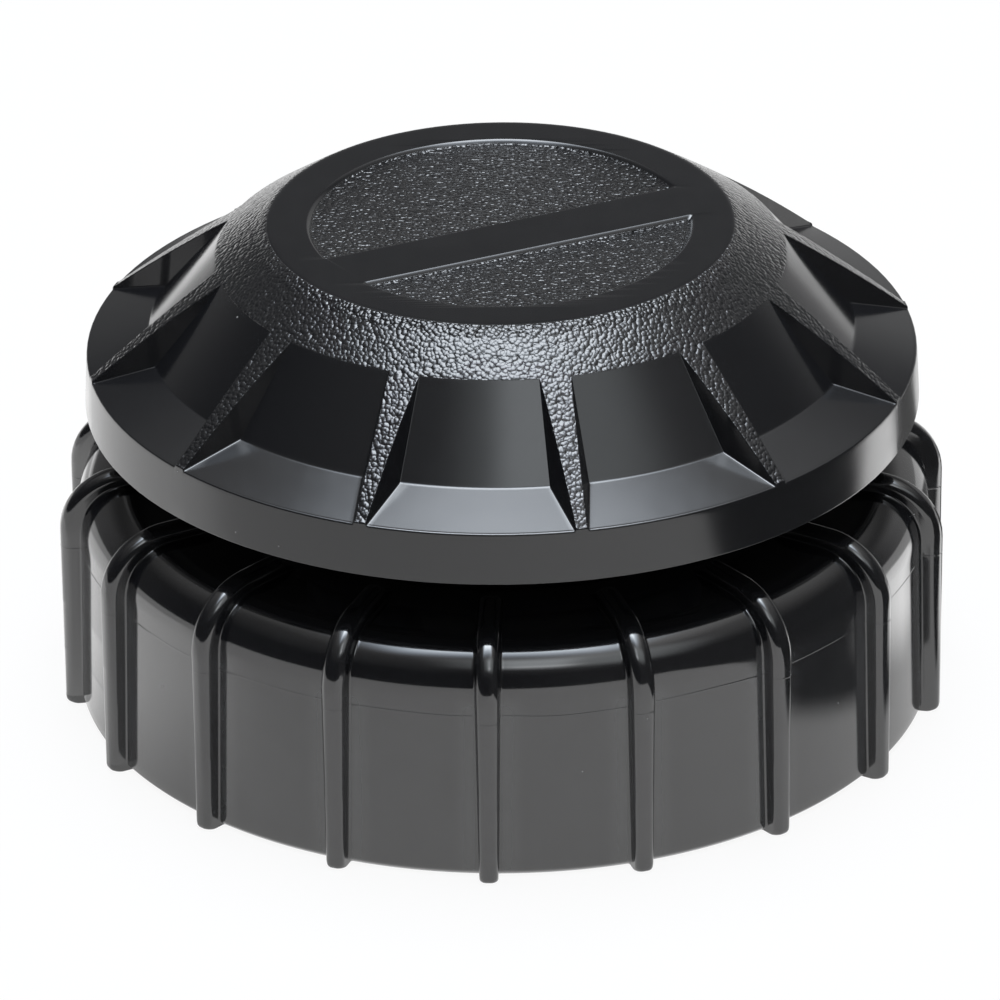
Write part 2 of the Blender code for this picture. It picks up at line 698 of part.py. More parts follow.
def flat_ring(name, inner, outer, bottom, top, finish):
    """Plain washer."""
    outline = [(inner, bottom), (outer, bottom), (outer, top), (inner, top)]
    return add_object(name, turned(outline, FLOAT_SEGMENTS), finish)


def build_clip(finish):
    """Open retaining clip in the stem's groove."""
    inner = CLIP_GROOVE_RADIUS + CLIP_CLEARANCE
    outer = inner + CLIP_WIDTH
    start = math.degrees(CLIP_OPENING) / 2
    outline = arc((0.0, 0.0), outer, start, 360.0 - start, SMALL_SEGMENTS)
    outline += arc((0.0, 0.0), inner, 360.0 - start, start, SMALL_SEGMENTS // 2)
    shape = bmesh.new()
    prism(shape, outline, CLIP_BOTTOM, CLIP_TOP)
    return add_object("stem_clip", shape, finish)


def build_o_ring(finish):
    """O-ring in the spigot's groove."""
    middle = FLANGE_BOTTOM - GROOVE_MIDDLE_DROP
    center = (GROOVE_RADIUS + SEAT_GAP + O_RING_SECTION_RADIUS, middle)
    outline = circle(center, O_RING_SECTION_RADIUS, O_RING_STEPS)
    return add_object("body_o_ring", turned(outline, O_RING_SEGMENTS), finish)


def clear_scene():
    """Remove what the new file holds."""
    for item in list(bpy.data.objects):
        bpy.data.objects.remove(item, do_unlink=True)


def hold_together(name, pieces):
    """Parent pieces that move as one to an empty on the axis."""
    carrier = bpy.data.objects.new(name, None)
    bpy.context.scene.collection.objects.link(carrier)
    for piece in pieces:
        piece.parent = carrier
    return carrier


def main():
    clear_scene()
    gloss_black = plastic("gloss_black_plastic", (0.012, 0.012, 0.014), 0.22)
    satin_black = plastic("satin_black_plastic", (0.014, 0.014, 0.016), 0.36)
    bonnet_black = plastic("bonnet_plastic", (0.02, 0.02, 0.022), 0.42)
    float_white = plastic("float_plastic", (0.72, 0.71, 0.66), 0.4)
    rubber_black = plastic("seal_rubber", (0.018, 0.018, 0.018), 0.7)
    steel = plastic("stainless_steel", (0.62, 0.62, 0.61), 0.3, 1.0)

    build_collar(gloss_black)
    top_pieces = [build_bonnet(bonnet_black), build_hood(satin_black), build_o_ring(rubber_black)]
    top_pieces += build_screws(steel)
    hold_together("bonnet_spin_axis", top_pieces)

    seal = flat_ring(
        "float_seal",
        FLOAT_HUB_RADIUS + SHANK_CLEARANCE,
        FLOAT_RADIUS,
        SEAL_BOTTOM,
        SEAL_TOP,
        rubber_black,
    )
    retainer = flat_ring(
        "seal_retainer",
        STEM_HOLE_RADIUS,
        PORT_RADIUS - RETAINER_INSET,
        RETAINER_BOTTOM,
        RETAINER_BOTTOM + RETAINER_THICKNESS,
        float_white,
    )
    hold_together("float_axis", [build_float(float_white), seal, retainer, build_clip(steel)])


main()
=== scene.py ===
"""Looks of the vented top of an anti-siphon valve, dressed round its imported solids.

Each sub-assembly is a class that holds its sizes in metres and builds its meshes. The sizes
repeat those of the solids. Every mesh lies in the frame of the solids, with its object at
the origin.
"""

import logging
import math
from collections.abc import Iterable, Sequence
from dataclasses import dataclass, field
from enum import Enum

import bmesh
import bpy
from mathutils import Matrix, Vector
from mathutils.geometry import tessellate_polygon


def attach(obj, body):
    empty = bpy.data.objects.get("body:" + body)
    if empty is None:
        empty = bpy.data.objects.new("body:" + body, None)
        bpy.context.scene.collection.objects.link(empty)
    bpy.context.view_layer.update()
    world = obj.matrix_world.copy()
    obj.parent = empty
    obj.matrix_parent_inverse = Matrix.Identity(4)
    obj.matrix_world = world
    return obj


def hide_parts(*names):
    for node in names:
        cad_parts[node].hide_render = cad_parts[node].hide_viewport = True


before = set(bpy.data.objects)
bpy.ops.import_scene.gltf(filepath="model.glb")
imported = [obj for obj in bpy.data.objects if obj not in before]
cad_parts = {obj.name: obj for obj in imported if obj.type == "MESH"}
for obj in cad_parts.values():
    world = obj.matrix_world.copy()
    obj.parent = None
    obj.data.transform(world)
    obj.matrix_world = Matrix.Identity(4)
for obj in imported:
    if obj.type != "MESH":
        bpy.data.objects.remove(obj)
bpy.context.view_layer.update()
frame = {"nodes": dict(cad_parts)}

MM = 0.001
GRAIN = "grain"
GRAINED = 1.0
SMOOTH = 0.0
INSIDE = -1.0
LOG = logging.getLogger("valve_top")

Outline = list[tuple[float, float]]
Color = tuple[float, float, float]
Place = tuple[float, float, float]
Corner = tuple[float, float, float]

RIB_COUNT = 18
RIB_FIRST_ANGLE = math.radians(-92.3)
POST_COUNT = 4
POST_FIRST_ANGLE = math.radians(45.0)
POST_CIRCLE_RADIUS = 13.6 * MM
ON_AXIS = 1e-9
MERGE_DISTANCE = 0.002 * MM
CORNER_SHARE = 0.48
BOSS_SIDES = 48
SCREW_SIDES = 40
FLOAT_SIDES = 96
SEAL_SIDES = 144
SEAL_SECTION_SIDES = 20
FLOOR_SIDES = 64
COLLAR_THREAD_STEPS = 90
SCREW_THREAD_STEPS = 28
FOCAL_PIXELS = 9341.4


class Body(Enum):
    """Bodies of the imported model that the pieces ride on."""

    COLLAR = "screw_collar"
    BONNET = "vented_bonnet"
    FLOAT = "float_group"


class Slot(Enum):
    """Material slots of the record."""

    GLOSS_BLACK = "gloss_black_plastic"
    SATIN_BLACK = "satin_black_plastic"
    BONNET_BLACK = "bonnet_plastic"
    FLOAT_WHITE = "float_plastic"
    RUBBER = "seal_rubber"
    STEEL = "stainless_steel"


class Step(Enum):
    """Operations of a Math node that the expressions use."""

    ADD = "ADD"
    SUBTRACT = "SUBTRACT"
    MULTIPLY = "MULTIPLY"
    DIVIDE = "DIVIDE"
    ABSOLUTE = "ABSOLUTE"
    SMALLER = "MINIMUM"
    ABOVE = "GREATER_THAN"
    ANGLE = "ARCTAN2"
    ROUND = "ROUND"


class Signal:
    """A node's socket that takes part in Python arithmetic."""

    def __init__(self, graph: "Graph", socket: bpy.types.NodeSocket) -> None:
        """Wrap one output socket of a graph."""
        self.graph = graph
        self.socket = socket

    def step(self, kind: Step, *terms: "Signal | float") -> "Signal":
        """Add one Math node.

        Args:
            kind: What the node works out.
            terms: Values or signals of its sockets, in order.

        Returns:
            The node's result.
        """
        made = self.graph.node("ShaderNodeMath", {"operation": kind.value}, dict(enumerate(terms)))
        return Signal(self.graph, made.outputs[0])

    def __add__(self, other: "Signal | float") -> "Signal":
        """Sum."""
        return self.step(Step.ADD, self, other)

    def __radd__(self, other: float) -> "Signal":
        """Sum, with the number in front."""
        return self.step(Step.ADD, other, self)

    def __sub__(self, other: "Signal | float") -> "Signal":
        """Difference."""
        return self.step(Step.SUBTRACT, self, other)

    def __rsub__(self, other: float) -> "Signal":
        """Difference, with the number in front."""
        return self.step(Step.SUBTRACT, other, self)

    def __mul__(self, other: "Signal | float") -> "Signal":
        """Product."""
        return self.step(Step.MULTIPLY, self, other)

    def __rmul__(self, other: float) -> "Signal":
        """Product, with the number in front."""
        return self.step(Step.MULTIPLY, other, self)

    def __truediv__(self, other: "Signal | float") -> "Signal":
        """Quotient."""
        return self.step(Step.DIVIDE, self, other)

    def __rtruediv__(self, other: float) -> "Signal":
        """Quotient, with the number on top."""
        return self.step(Step.DIVIDE, other, self)

    def __abs__(self) -> "Signal":
        """Size without sign."""
        return self.step(Step.ABSOLUTE, self)

    def above(self, limit: float) -> "Signal":
        """One where the signal is over the limit, else zero."""
        return self.step(Step.ABOVE, self, limit)

    def rise(self, low: float, high: float) -> "Signal":
        """Smooth step from 0 to 1.

        Args:
            low: Value at which the step is 0.
            high: Value at which the step is 1; it may be the lower one.

        Returns:
            The step.
        """
        made = self.graph.node(
            "ShaderNodeMapRange",
            {"interpolation_type": "SMOOTHSTEP"},
            {0: self, 1: low, 2: high},
        )
        return Signal(self.graph, made.outputs[0])


class Graph:
    """A node tree of a material, a lamp, the world or Geometry Nodes."""

    def __init__(self, tree: bpy.types.NodeTree) -> None:
        """Work on this tree."""
        self.tree = tree

    @classmethod
    def fresh(cls, owner: bpy.types.ID) -> "Graph":
        """Emptied node tree of a material, a lamp or the world.

        Args:
            owner: What the tree belongs to.

        Returns:
            The graph to build in.
        """
        owner.use_nodes = True
        owner.node_tree.nodes.clear()
        return cls(owner.node_tree)

    def node(
        self,
        kind: str,
        settings: dict[str, object] | None = None,
        sockets: dict[str | int, object] | None = None,
    ) -> bpy.types.Node:
        """Add one node.

        Args:
            kind: The node's type.
            settings: Its settings, which are set first.
            sockets: Values or links of its input sockets, by name or number.

        Returns:
            The new node.
        """
        made = self.tree.nodes.new(kind)
        for name, value in (settings or {}).items():
            setattr(made, name, value)
        for key, value in (sockets or {}).items():
            socket = made.inputs[key]
            if isinstance(value, (Signal, bpy.types.NodeSocket)):
                self.feed(value, socket)
            else:
                socket.default_value = value
        return made

    def feed(self, value: "Signal | bpy.types.NodeSocket", socket: bpy.types.NodeSocket) -> None:
        """Link a signal or an output socket to an input socket."""
        self.tree.links.new(value.socket if isinstance(value, Signal) else value, socket)

    def signal(self, kind: str, settings: dict, sockets: dict, output: str | int = 0) -> Signal:
        """Add one node and wrap one of its outputs.

        Args:
            kind: The node's type.
            settings: Its settings.
            sockets: Values or links of its input sockets.
            output: Name or number of the output.

        Returns:
            The output as a signal.
        """
        return Signal(self, self.node(kind, settings, sockets).outputs[output])

    def place(self) -> bpy.types.NodeSocket:
        """Object coordinates in metres."""
        return self.node("ShaderNodeTexCoord").outputs["Object"]

    def parts(self, vector: bpy.types.NodeSocket) -> list[Signal]:
        """A vector's three numbers as signals."""
        split = self.node("ShaderNodeSeparateXYZ", {}, {0: vector})
        return [Signal(self, socket) for socket in split.outputs]

    def axes(self) -> list[Signal]:
        """Object coordinates as three signals."""
        return self.parts(self.place())

    def rays(self, *kinds: str) -> list[Signal]:
        """Outputs of a Light Path node as signals."""
        path = self.node("ShaderNodeLightPath")
        return [Signal(self, path.outputs[kind]) for kind in kinds]

    def noise(self, size: float, detail: float = 2.0, stretch: Place = (1.0, 1.0, 1.0)) -> Signal:
        """Soft noise about one half.

        Args:
            size: Width of its patches in metres.
            detail: Number of finer layers.
            stretch: Factor on each axis before the noise is read.

        Returns:
            The noise.
        """
        mapped = self.node("ShaderNodeMapping", {}, {"Vector": self.place(), "Scale": stretch})
        sockets = {"Vector": mapped.outputs[0], "Scale": 1.0 / size, "Detail": detail}
        return self.signal("ShaderNodeTexNoise", {}, sockets)

    def specks(self, spacing: float, size: float, share: float) -> Signal:
        """Small round specks strewn over a surface.

        Args:
            spacing: Mean distance between the places of specks.
            size: Radius of a speck.
            share: Share of the places that hold none.

        Returns:
            One on a speck and zero elsewhere.
        """
        sockets = {"Vector": self.place(), "Scale": 1.0 / spacing}
        cells = self.node("ShaderNodeTexVoronoi", {}, sockets)
        near = Signal(self, cells.outputs["Distance"]).rise(size / spacing, 0.4 * size / spacing)
        pick = self.signal("ShaderNodeSeparateColor", {}, {0: cells.outputs["Color"]})
        return near * pick.above(share)

    def bump(
        self, height: Signal, depth: float, below: bpy.types.NodeSocket | None = None
    ) -> bpy.types.NodeSocket:
        """Bump from a height signal.

        Args:
            height: Height between 0 and 1.
            depth: Height of 1 in metres.
            below: Normal of a coarser bump to stand on.

        Returns:
            The new normal.
        """
        sockets = {"Height": height, "Distance": depth, "Strength": 1.0}
        if below is not None:
            sockets["Normal"] = below
        return self.node("ShaderNodeBump", {}, sockets).outputs[0]

    def tint(self, share: Signal, plain: Color, other: Color) -> bpy.types.NodeSocket:
        """Colour between two colours.

        Args:
            share: Share of the second colour.
            plain: First colour.
            other: Second colour.

        Returns:
            The mixed colour.
        """
        sockets = {0: share, 6: (*plain, 1.0), 7: (*other, 1.0)}
        return self.node("ShaderNodeMix", {"data_type": "RGBA"}, sockets).outputs[2]


@dataclass(frozen=True)
class Finish:
    """A plain moulded or metal surface; the kinds below add what varies over it."""

    name: str
    color: Color
    roughness: float
    specular: float = 0.5
    metallic: float = 0.0
    ior: float = 1.5
    mottle_size: float = 2.2 * MM
    fine_size: float = 0.35 * MM
    fine_depth: float = 0.004 * MM

    def dress(self, graph: Graph, sockets: bpy.types.NodeInputs) -> None:
        """Link what varies over the surface.

        Args:
            graph: The material's tree.
            sockets: Input sockets of its Principled shader.
        """
        mottle = graph.noise(self.mottle_size, 3.0)
        lift = tuple(min(1.0, channel * 1.25 + 0.002) for channel in self.color)
        graph.feed(graph.tint(mottle, self.color, lift), sockets["Base Color"])
        rough = self.roughness * 0.85 + mottle * (self.roughness * 0.3)
        graph.feed(rough, sockets["Roughness"])
        fine = graph.noise(self.fine_size, 2.0)
        graph.feed(graph.bump(fine, self.fine_depth), sockets["Normal"])

    def material(self) -> bpy.types.Material:
        """The finish as a material, made once.

        Returns:
            The material.
        """
        known = bpy.data.materials.get(self.name)
        if known is not None:
            return known
        made = bpy.data.materials.new(self.name)
        made.diffuse_color = (*self.color, 1.0)
        graph = Graph.fresh(made)
        sockets = {
            "Base Color": (*self.color, 1.0),
            "Roughness": self.roughness,
            "Specular IOR Level": self.specular,
            "Metallic": self.metallic,
            "IOR": self.ior,
        }
        shader = graph.node("ShaderNodeBsdfPrincipled", {}, sockets)
        graph.node("ShaderNodeOutputMaterial", {}, {"Surface": shader.outputs[0]})
        self.dress(graph, shader.inputs)
        return made


@dataclass(frozen=True)
class GlossPlastic(Finish):
    """Glossy moulding with a parting line, faint sinks, hairlines, dust and painted sheen as
    lighter bands beside the ribs.
    """

    parting_height: float = 12.3 * MM
    parting_width: float = 0.07 * MM
    parting_wander: float = 0.25 * MM
    parting_depth: float = 0.014 * MM
    dust: Color = (0.50, 0.49, 0.47)
    dust_spacing: float = 2.6 * MM
    dust_radius: float = 0.06 * MM
    dust_depth: float = 0.02 * MM
    dust_free_share: float = 0.62
    film_size: float = 2.4 * MM
    film_and_sheen_start: float = 14.5 * MM
    film_and_sheen_full: float = 12.5 * MM
    sink_size: float = 6.5 * MM
    sink_depth: float = 0.012 * MM
    rib_count: int = RIB_COUNT
    rib_first_angle: float = RIB_FIRST_ANGLE

    def dress(self, graph: Graph, sockets: bpy.types.NodeInputs) -> None:
        """Link parting line, sinks, hairlines, dust and the painted sheen beside the ribs.

        Args:
            graph: The material's tree.
            sockets: Input sockets of its Principled shader.
        """
        _, _, height = graph.axes()
        wander = graph.noise(9.0 * MM, 1.0) * (2.0 * self.parting_wander) - self.parting_wander
        parting = abs(height - self.parting_height + wander).rise(self.parting_width, 0.0)
        dust = graph.specks(self.dust_spacing, self.dust_radius, self.dust_free_share)
        # Base colour lifted by a faint random film plus painted sheen: lighter bands beside each
        # rib, on the lower wall only
        film_and_sheen = graph.noise(self.film_size, 4.0) * 0.03 + self.painted_sheen_beside_ribs(graph) * 0.055
        film_and_sheen = film_and_sheen * height.rise(self.film_and_sheen_start, self.film_and_sheen_full)
        graph.feed(graph.tint(dust + film_and_sheen, self.color, self.dust), sockets["Base Color"])
        smear = graph.noise(5.0 * MM, 3.0, (1.0, 1.0, 0.35))
        rough = self.roughness * 0.7 + smear * (self.roughness * 0.6) + dust * 0.4
        graph.feed(rough + parting * 0.12, sockets["Roughness"])
        sinks = graph.bump(graph.noise(self.sink_size, 1.0), self.sink_depth)
        line = graph.bump(parting, self.parting_depth, sinks)
        graph.feed(graph.bump(dust, self.dust_depth, line), sockets["Normal"])

    def painted_sheen_beside_ribs(self, graph: Graph) -> Signal:
        """Soft lighter bands painted on the wall beside each grip rib as sheen.

        Args:
            graph: The material's tree.

        Returns:
            One next to a rib, fading to zero on the rib and between two ribs.
        """
        x, y, _ = graph.axes()
        angle = y.step(Step.ANGLE, y, x)
        pitch = math.tau / self.rib_count
        place = (angle - self.rib_first_angle) / pitch + self.rib_count
        away = abs(place - place.step(Step.ROUND, place))
        return away.rise(0.26, 0.11) * away.rise(0.07, 0.10)


@dataclass(frozen=True)
class GrainedPlastic(Finish):
    """Satin moulding with pebbled grain where the mesh is marked."""

    grain_size: float = 0.29 * MM
    grain_depth: float = 0.031 * MM
    grain_softness: float = 0.22
    pit_size: float = 0.13 * MM
    warp_scale: float = 1800.0
    warp_reach: float = 0.22 * MM
    fields_below: float = 34.4 * MM
    fields_above: float = 34.6 * MM
    wave_size: float = 5.0 * MM
    wave_depth: float = 0.008 * MM
    dust: Color = (0.55, 0.54, 0.52)
    dust_spacing: float = 3.0 * MM
    dust_radius: float = 0.085 * MM
    dust_depth: float = 0.03 * MM
    dust_free_share: float = 0.6

    def dress(self, graph: Graph, sockets: bpy.types.NodeInputs) -> None:
        """Link grain, smears and dust.

        Args:
            graph: The material's tree.
            sockets: Input sockets of its Principled shader.
        """
        mark = graph.signal("ShaderNodeAttribute", {"attribute_name": GRAIN}, {}, "Fac")
        grained = mark.rise(0.35, 0.75)
        inside = mark.rise(-0.35, -0.75)
        spread = {"Vector": graph.place(), "Scale": self.warp_scale}
        warp = graph.node("ShaderNodeTexNoise", {}, spread)
        shift = graph.node(
            "ShaderNodeVectorMath",
            {"operation": "MULTIPLY_ADD"},
            {0: warp.outputs["Color"], 1: (self.warp_reach,) * 3, 2: graph.place()},
        )
        cell = {
            "Vector": shift.outputs[0],
            "Scale": 1.0 / self.grain_size,
            "Smoothness": self.grain_softness,
        }
        pebble = graph.signal("ShaderNodeTexVoronoi", {"feature": "SMOOTH_F1"}, cell)
        pits = graph.noise(self.pit_size, 2.0)
        crown = 1.0 - pebble * pebble * 2.0 + pits * 0.14
        fields = graph.axes()[2].rise(self.fields_below, self.fields_above)
        dust = graph.specks(self.dust_spacing, self.dust_radius, self.dust_free_share)
        dust = dust * (1.0 - grained)
        graph.feed(graph.tint(dust, self.color, self.dust), sockets["Base Color"])
        smear = graph.noise(3.0 * MM, 3.0) + graph.noise(0.9 * MM, 2.0, (1.0, 0.2, 1.0)) * 0.5
        rough = self.roughness * 0.6 + smear * (self.roughness * 0.55) + dust * 0.3
        graph.feed(rough - grained * 0.02 + inside * 0.75, sockets["Roughness"])
        waves = graph.bump(graph.noise(self.wave_size, 1.0), self.wave_depth)
        relief = graph.bump(crown * grained * (fields * 0.6 + 1.0), self.grain_depth, waves)
        graph.feed(graph.bump(dust, self.dust_depth, relief), sockets["Normal"])


@dataclass(frozen=True)
class BrushedSteel(Finish):
    """Drawn or pressed stainless steel with fine streaks round the axis."""

    def dress(self, graph: Graph, sockets: bpy.types.NodeInputs) -> None:
        """Link streaks in the roughness and a faint relief.

        Args:
            graph: The material's tree.
            sockets: Input sockets of its Principled shader.
        """
        streaks = graph.noise(0.25 * MM, 3.0, (0.4, 0.4, 6.0))
        rough = self.roughness * 0.7 + streaks * (self.roughness * 0.6)
        graph.feed(rough, sockets["Roughness"])
        shade = tuple(channel * 0.82 for channel in self.color)
        graph.feed(graph.tint(streaks, shade, self.color), sockets["Base Color"])
        graph.feed(graph.bump(streaks, 0.003 * MM), sockets["Normal"])


COLLAR_FINISH = GlossPlastic("collar_gloss_black", (0.009, 0.009, 0.010), 0.10, 0.9, ior=1.6)
HOOD_FINISH = GrainedPlastic("hood_satin_black", (0.009, 0.009, 0.010), 0.16, 0.82)
BONNET_FINISH = Finish("bonnet_black", (0.02, 0.02, 0.022), 0.38)
FLOAT_FINISH = Finish("float_natural_white", (0.72, 0.71, 0.66), 0.40)
RUBBER_FINISH = Finish("seal_black_rubber", (0.018, 0.018, 0.018), 0.62, 0.3)
STEEL_FINISH = BrushedSteel("screw_stainless_steel", (0.62, 0.62, 0.61), 0.30, 0.5, 1.0)


def bend(start: Vector, corner: Vector, end: Vector, steps: int) -> list[Vector]:
    """Points of a rounded corner.

    Args:
        start: Where the rounding leaves one side.
        corner: The sharp corner.
        end: Where the rounding meets the other side.
        steps: Number of segments.

    Returns:
        The points from start to end.
    """
    points = []
    for step in range(steps + 1):
        share = step / steps
        points.append(start * (1 - share) ** 2 + corner * 2 * share * (1 - share) + end * share**2)
    return points


def eased(corners: Sequence[Corner], steps: int = 4, closed: bool = True) -> Outline:
    """Round the corners of an outline.

    Args:
        corners: Points as (x, y, length of the rounding along each side).
        steps: Number of segments in a rounded corner.
        closed: Whether the last corner joins the first.

    Returns:
        The outline, with a corner of no rounding kept as one point.
    """
    outline: Outline = []
    for index, (x, y, reach) in enumerate(corners):
        corner = Vector((x, y))
        at_end = not closed and index in (0, len(corners) - 1)
        if reach <= 0.0 or at_end:
            outline.append((x, y))
            continue
        before = Vector(corners[index - 1][:2]) - corner
        after = Vector(corners[(index + 1) % len(corners)][:2]) - corner
        start = corner + before.normalized() * min(reach, before.length * CORNER_SHARE)
        end = corner + after.normalized() * min(reach, after.length * CORNER_SHARE)
        outline += [(point.x, point.y) for point in bend(start, corner, end, steps)]
    return outline


def height_at(line: Outline, x: float) -> float:
    """Height of an open line of rising x at a place.

    Args:
        line: The line's points.
        x: The place.

    Returns:
        The height there, or the nearest end's.
    """
    if x <= line[0][0]:
        return line[0][1]
    for (x0, y0), (x1, y1) in zip(line, line[1:]):
        if x <= x1:
            return y0 if x1 - x0 < 1e-12 else y0 + (y1 - y0) * (x - x0) / (x1 - x0)
    return line[-1][1]


def ring(radius: float, height: float, angles: Iterable[float]) -> list[Vector]:
    """Points round the axis.

    Args:
        radius: Distance from the axis.
        height: Height of the ring.
        angles: Angles of the points.

    Returns:
        The points in order.
    """
    return [Vector((radius * math.cos(a), radius * math.sin(a), height)) for a in angles]


def full_turn(count: int, first: float = 0.0) -> list[float]:
    """Evenly spaced angles of a whole turn."""
    return [first + math.tau * index / count for index in range(count)]


class Skin:
    """A mesh in the making; each vertex is marked grained, smooth or inside."""

    def __init__(self) -> None:
        """Start empty."""
        self.shape = bmesh.new()
        self.grain = self.shape.verts.layers.float.new(GRAIN)

    def row(self, points: Iterable[Vector], marks: Sequence[float] | float = SMOOTH) -> list:
        """Add a row of vertices.

        Args:
            points: Their places.
            marks: Grain mark of all of them, or one for each.

        Returns:
            The new vertices.
        """
        made = []
        for index, point in enumerate(points):
            vertex = self.shape.verts.new(point)
            vertex[self.grain] = marks if isinstance(marks, float) else marks[index]
            made.append(vertex)
        return made

    def strip(self, first: Sequence, second: Sequence, closed: bool = True) -> None:
        """Join two rows of equally many vertices by quads, or a ring to one vertex.

        Args:
            first: One row.
            second: The other row.
            closed: Whether the rows close on themselves.
        """
        count = max(len(first), len(second))
        for index in range(0 if closed else 1, count):
            if len(first) == 1:
                corners = (first[0], second[index], second[index - 1])
            elif len(second) == 1:
                corners = (first[index - 1], first[index], second[0])
            else:
                corners = (first[index - 1], first[index], second[index], second[index - 1])
            self.shape.faces.new(corners)

    def skin(self, rows: Sequence[Sequence], closed: bool = True) -> None:
        """Join each row to the next."""
        for first, second in zip(rows, rows[1:]):
            self.strip(first, second, closed)

    def cap(self, ring_of_vertices: Sequence) -> None:
        """Close a flat ring by one face."""
        self.shape.faces.new(ring_of_vertices)

    def fill_between(self, loops: Sequence[Sequence[Vector]]) -> None:
        """Fill a flat face that has holes.

        Args:
            loops: The outer loop, then the loops of its holes.
        """
        vertices = self.row([point for loop in loops for point in loop])
        for corners in tessellate_polygon(loops):
            self.shape.faces.new([vertices[i] for i in corners])

    def rings(self, outline: Outline, count: int, center: Place = (0.0, 0.0, 0.0)) -> list[list]:
        """Add the rows of a surface of revolution, not yet joined.

        Args:
            outline: Its section as (radius, height) points.
            count: Number of points round it.
            center: Where its axis stands.

        Returns:
            The rows, with a single vertex for a point on the axis.
        """
        move = Vector(center)
        rows = []
        for radius, height in outline:
            angles = [0.0] if radius < ON_AXIS else full_turn(count)
            rows.append(self.row(point + move for point in ring(radius, height, angles)))
        return rows

    def turned(self, outline: Outline, count: int, center: Place = (0.0, 0.0, 0.0)) -> None:
        """Add a closed solid of revolution.

        Args:
            outline: Its section as (radius, height) points, open where it meets its axis.
            count: Number of points round it.
            center: Where its axis stands.
        """
        rows = self.rings(outline, count, center)
        self.skin(rows if outline[0][0] < ON_AXIS else [*rows, rows[0]])

    def loft(self, rings: Sequence[Iterable[Vector]]) -> None:
        """Add a closed solid through rings of equally many points."""
        rows = [self.row(points) for points in rings]
        self.skin(rows)
        self.cap(rows[0])
        self.cap(rows[-1])

    def take(self, mesh: bpy.types.Mesh) -> None:
        """Add a copy of a mesh and remove the original."""
        self.shape.from_mesh(mesh)
        bpy.data.meshes.remove(mesh)

    def merge(self) -> None:
        """Merge vertices that lie in one place."""
        bmesh.ops.remove_doubles(self.shape, verts=self.shape.verts, dist=MERGE_DISTANCE)

    def mesh(self, name: str) -> bpy.types.Mesh:
        """Merge doubles, turn the faces outwards and end the making.

        Args:
            name: Name of the mesh.

        Returns:
            The mesh.
        """
        self.merge()
        bmesh.ops.recalc_face_normals(self.shape, faces=self.shape.faces)
        made = bpy.data.meshes.new(name)
        self.shape.to_mesh(made)
        self.shape.free()
        made.shade_smooth()
        return made


def evaluated(piece: bpy.types.Object) -> bpy.types.Mesh:
    """Mesh of an object with its modifiers, as plain data."""
    graph = bpy.context.evaluated_depsgraph_get()
    return bpy.data.meshes.new_from_object(piece.evaluated_get(graph))


def placed(name: str, data: bpy.types.ID) -> bpy.types.Object:
    """New object in the scene, at the origin."""
    made = bpy.data.objects.new(name, data)
    bpy.context.scene.collection.objects.link(made)
    return made


def shown(name: str, mesh: bpy.types.Mesh, finish: Finish) -> bpy.types.Object:
    """Object of a finished mesh, with its normals weighted by area.

    Args:
        name: Name of the piece.
        mesh: Its mesh, which is used up.
        finish: Its finish.

    Returns:
        The object, at the origin and without modifiers.
    """
    mesh.materials.clear()
    mesh.materials.append(finish.material())
    piece = placed(name, mesh)
    weigh = piece.modifiers.new("even_shading", "WEIGHTED_NORMAL")
    weigh.keep_sharp = True
    piece.data = evaluated(piece)
    piece.modifiers.clear()
    piece.data.name = name
    bpy.data.meshes.remove(mesh)
    return piece


class NodeMaker:
    """A Geometry Nodes tree with named inputs, applied through a modifier."""

    def __init__(self, name: str, inputs: dict[str, str]) -> None:
        """Start the tree.

        Args:
            name: Name of the tree.
            inputs: Socket type of each named input.
        """
        tree = bpy.data.node_groups.new(name, "GeometryNodeTree")
        tree.interface.new_socket(
            name="Geometry", in_out="OUTPUT", socket_type="NodeSocketGeometry"
        )
        self.keys = {}
        for title, kind in inputs.items():
            socket = tree.interface.new_socket(name=title, in_out="INPUT", socket_type=kind)
            self.keys[title] = socket.identifier
        self.tree = tree
        self.graph = Graph(tree)
        self.entry = self.graph.node("NodeGroupInput")

    def given(self, title: str) -> Signal:
        """One of the tree's inputs as a signal."""
        return Signal(self.graph, self.entry.outputs[title])

    def close(self, geometry: bpy.types.NodeSocket) -> None:
        """End the tree in Realize Instances and Set Material.

        Args:
            geometry: What the tree has made.
        """
        plain = self.graph.node("GeometryNodeRealizeInstances", {}, {0: geometry})
        sockets = {"Geometry": plain.outputs[0], "Material": self.given("Finish")}
        dressed = self.graph.node("GeometryNodeSetMaterial", {}, sockets)
        self.graph.node("NodeGroupOutput", {}, {0: dressed.outputs[0]})

    def run(self, mesh: bpy.types.Mesh, values: dict[str, object]) -> bpy.types.Mesh:
        """Apply the tree to a mesh.

        Args:
            mesh: What the modifier's object holds; it is used up.
            values: Value of each input.

        Returns:
            The result as a plain mesh.
        """
        holder = placed("maker", mesh)
        maker = holder.modifiers.new(self.tree.name, "NODES")
        maker.node_group = self.tree
        for title, value in values.items():
            maker[self.keys[title]] = value
        made = evaluated(holder)
        bpy.data.objects.remove(holder)
        bpy.data.meshes.remove(mesh)
        return made


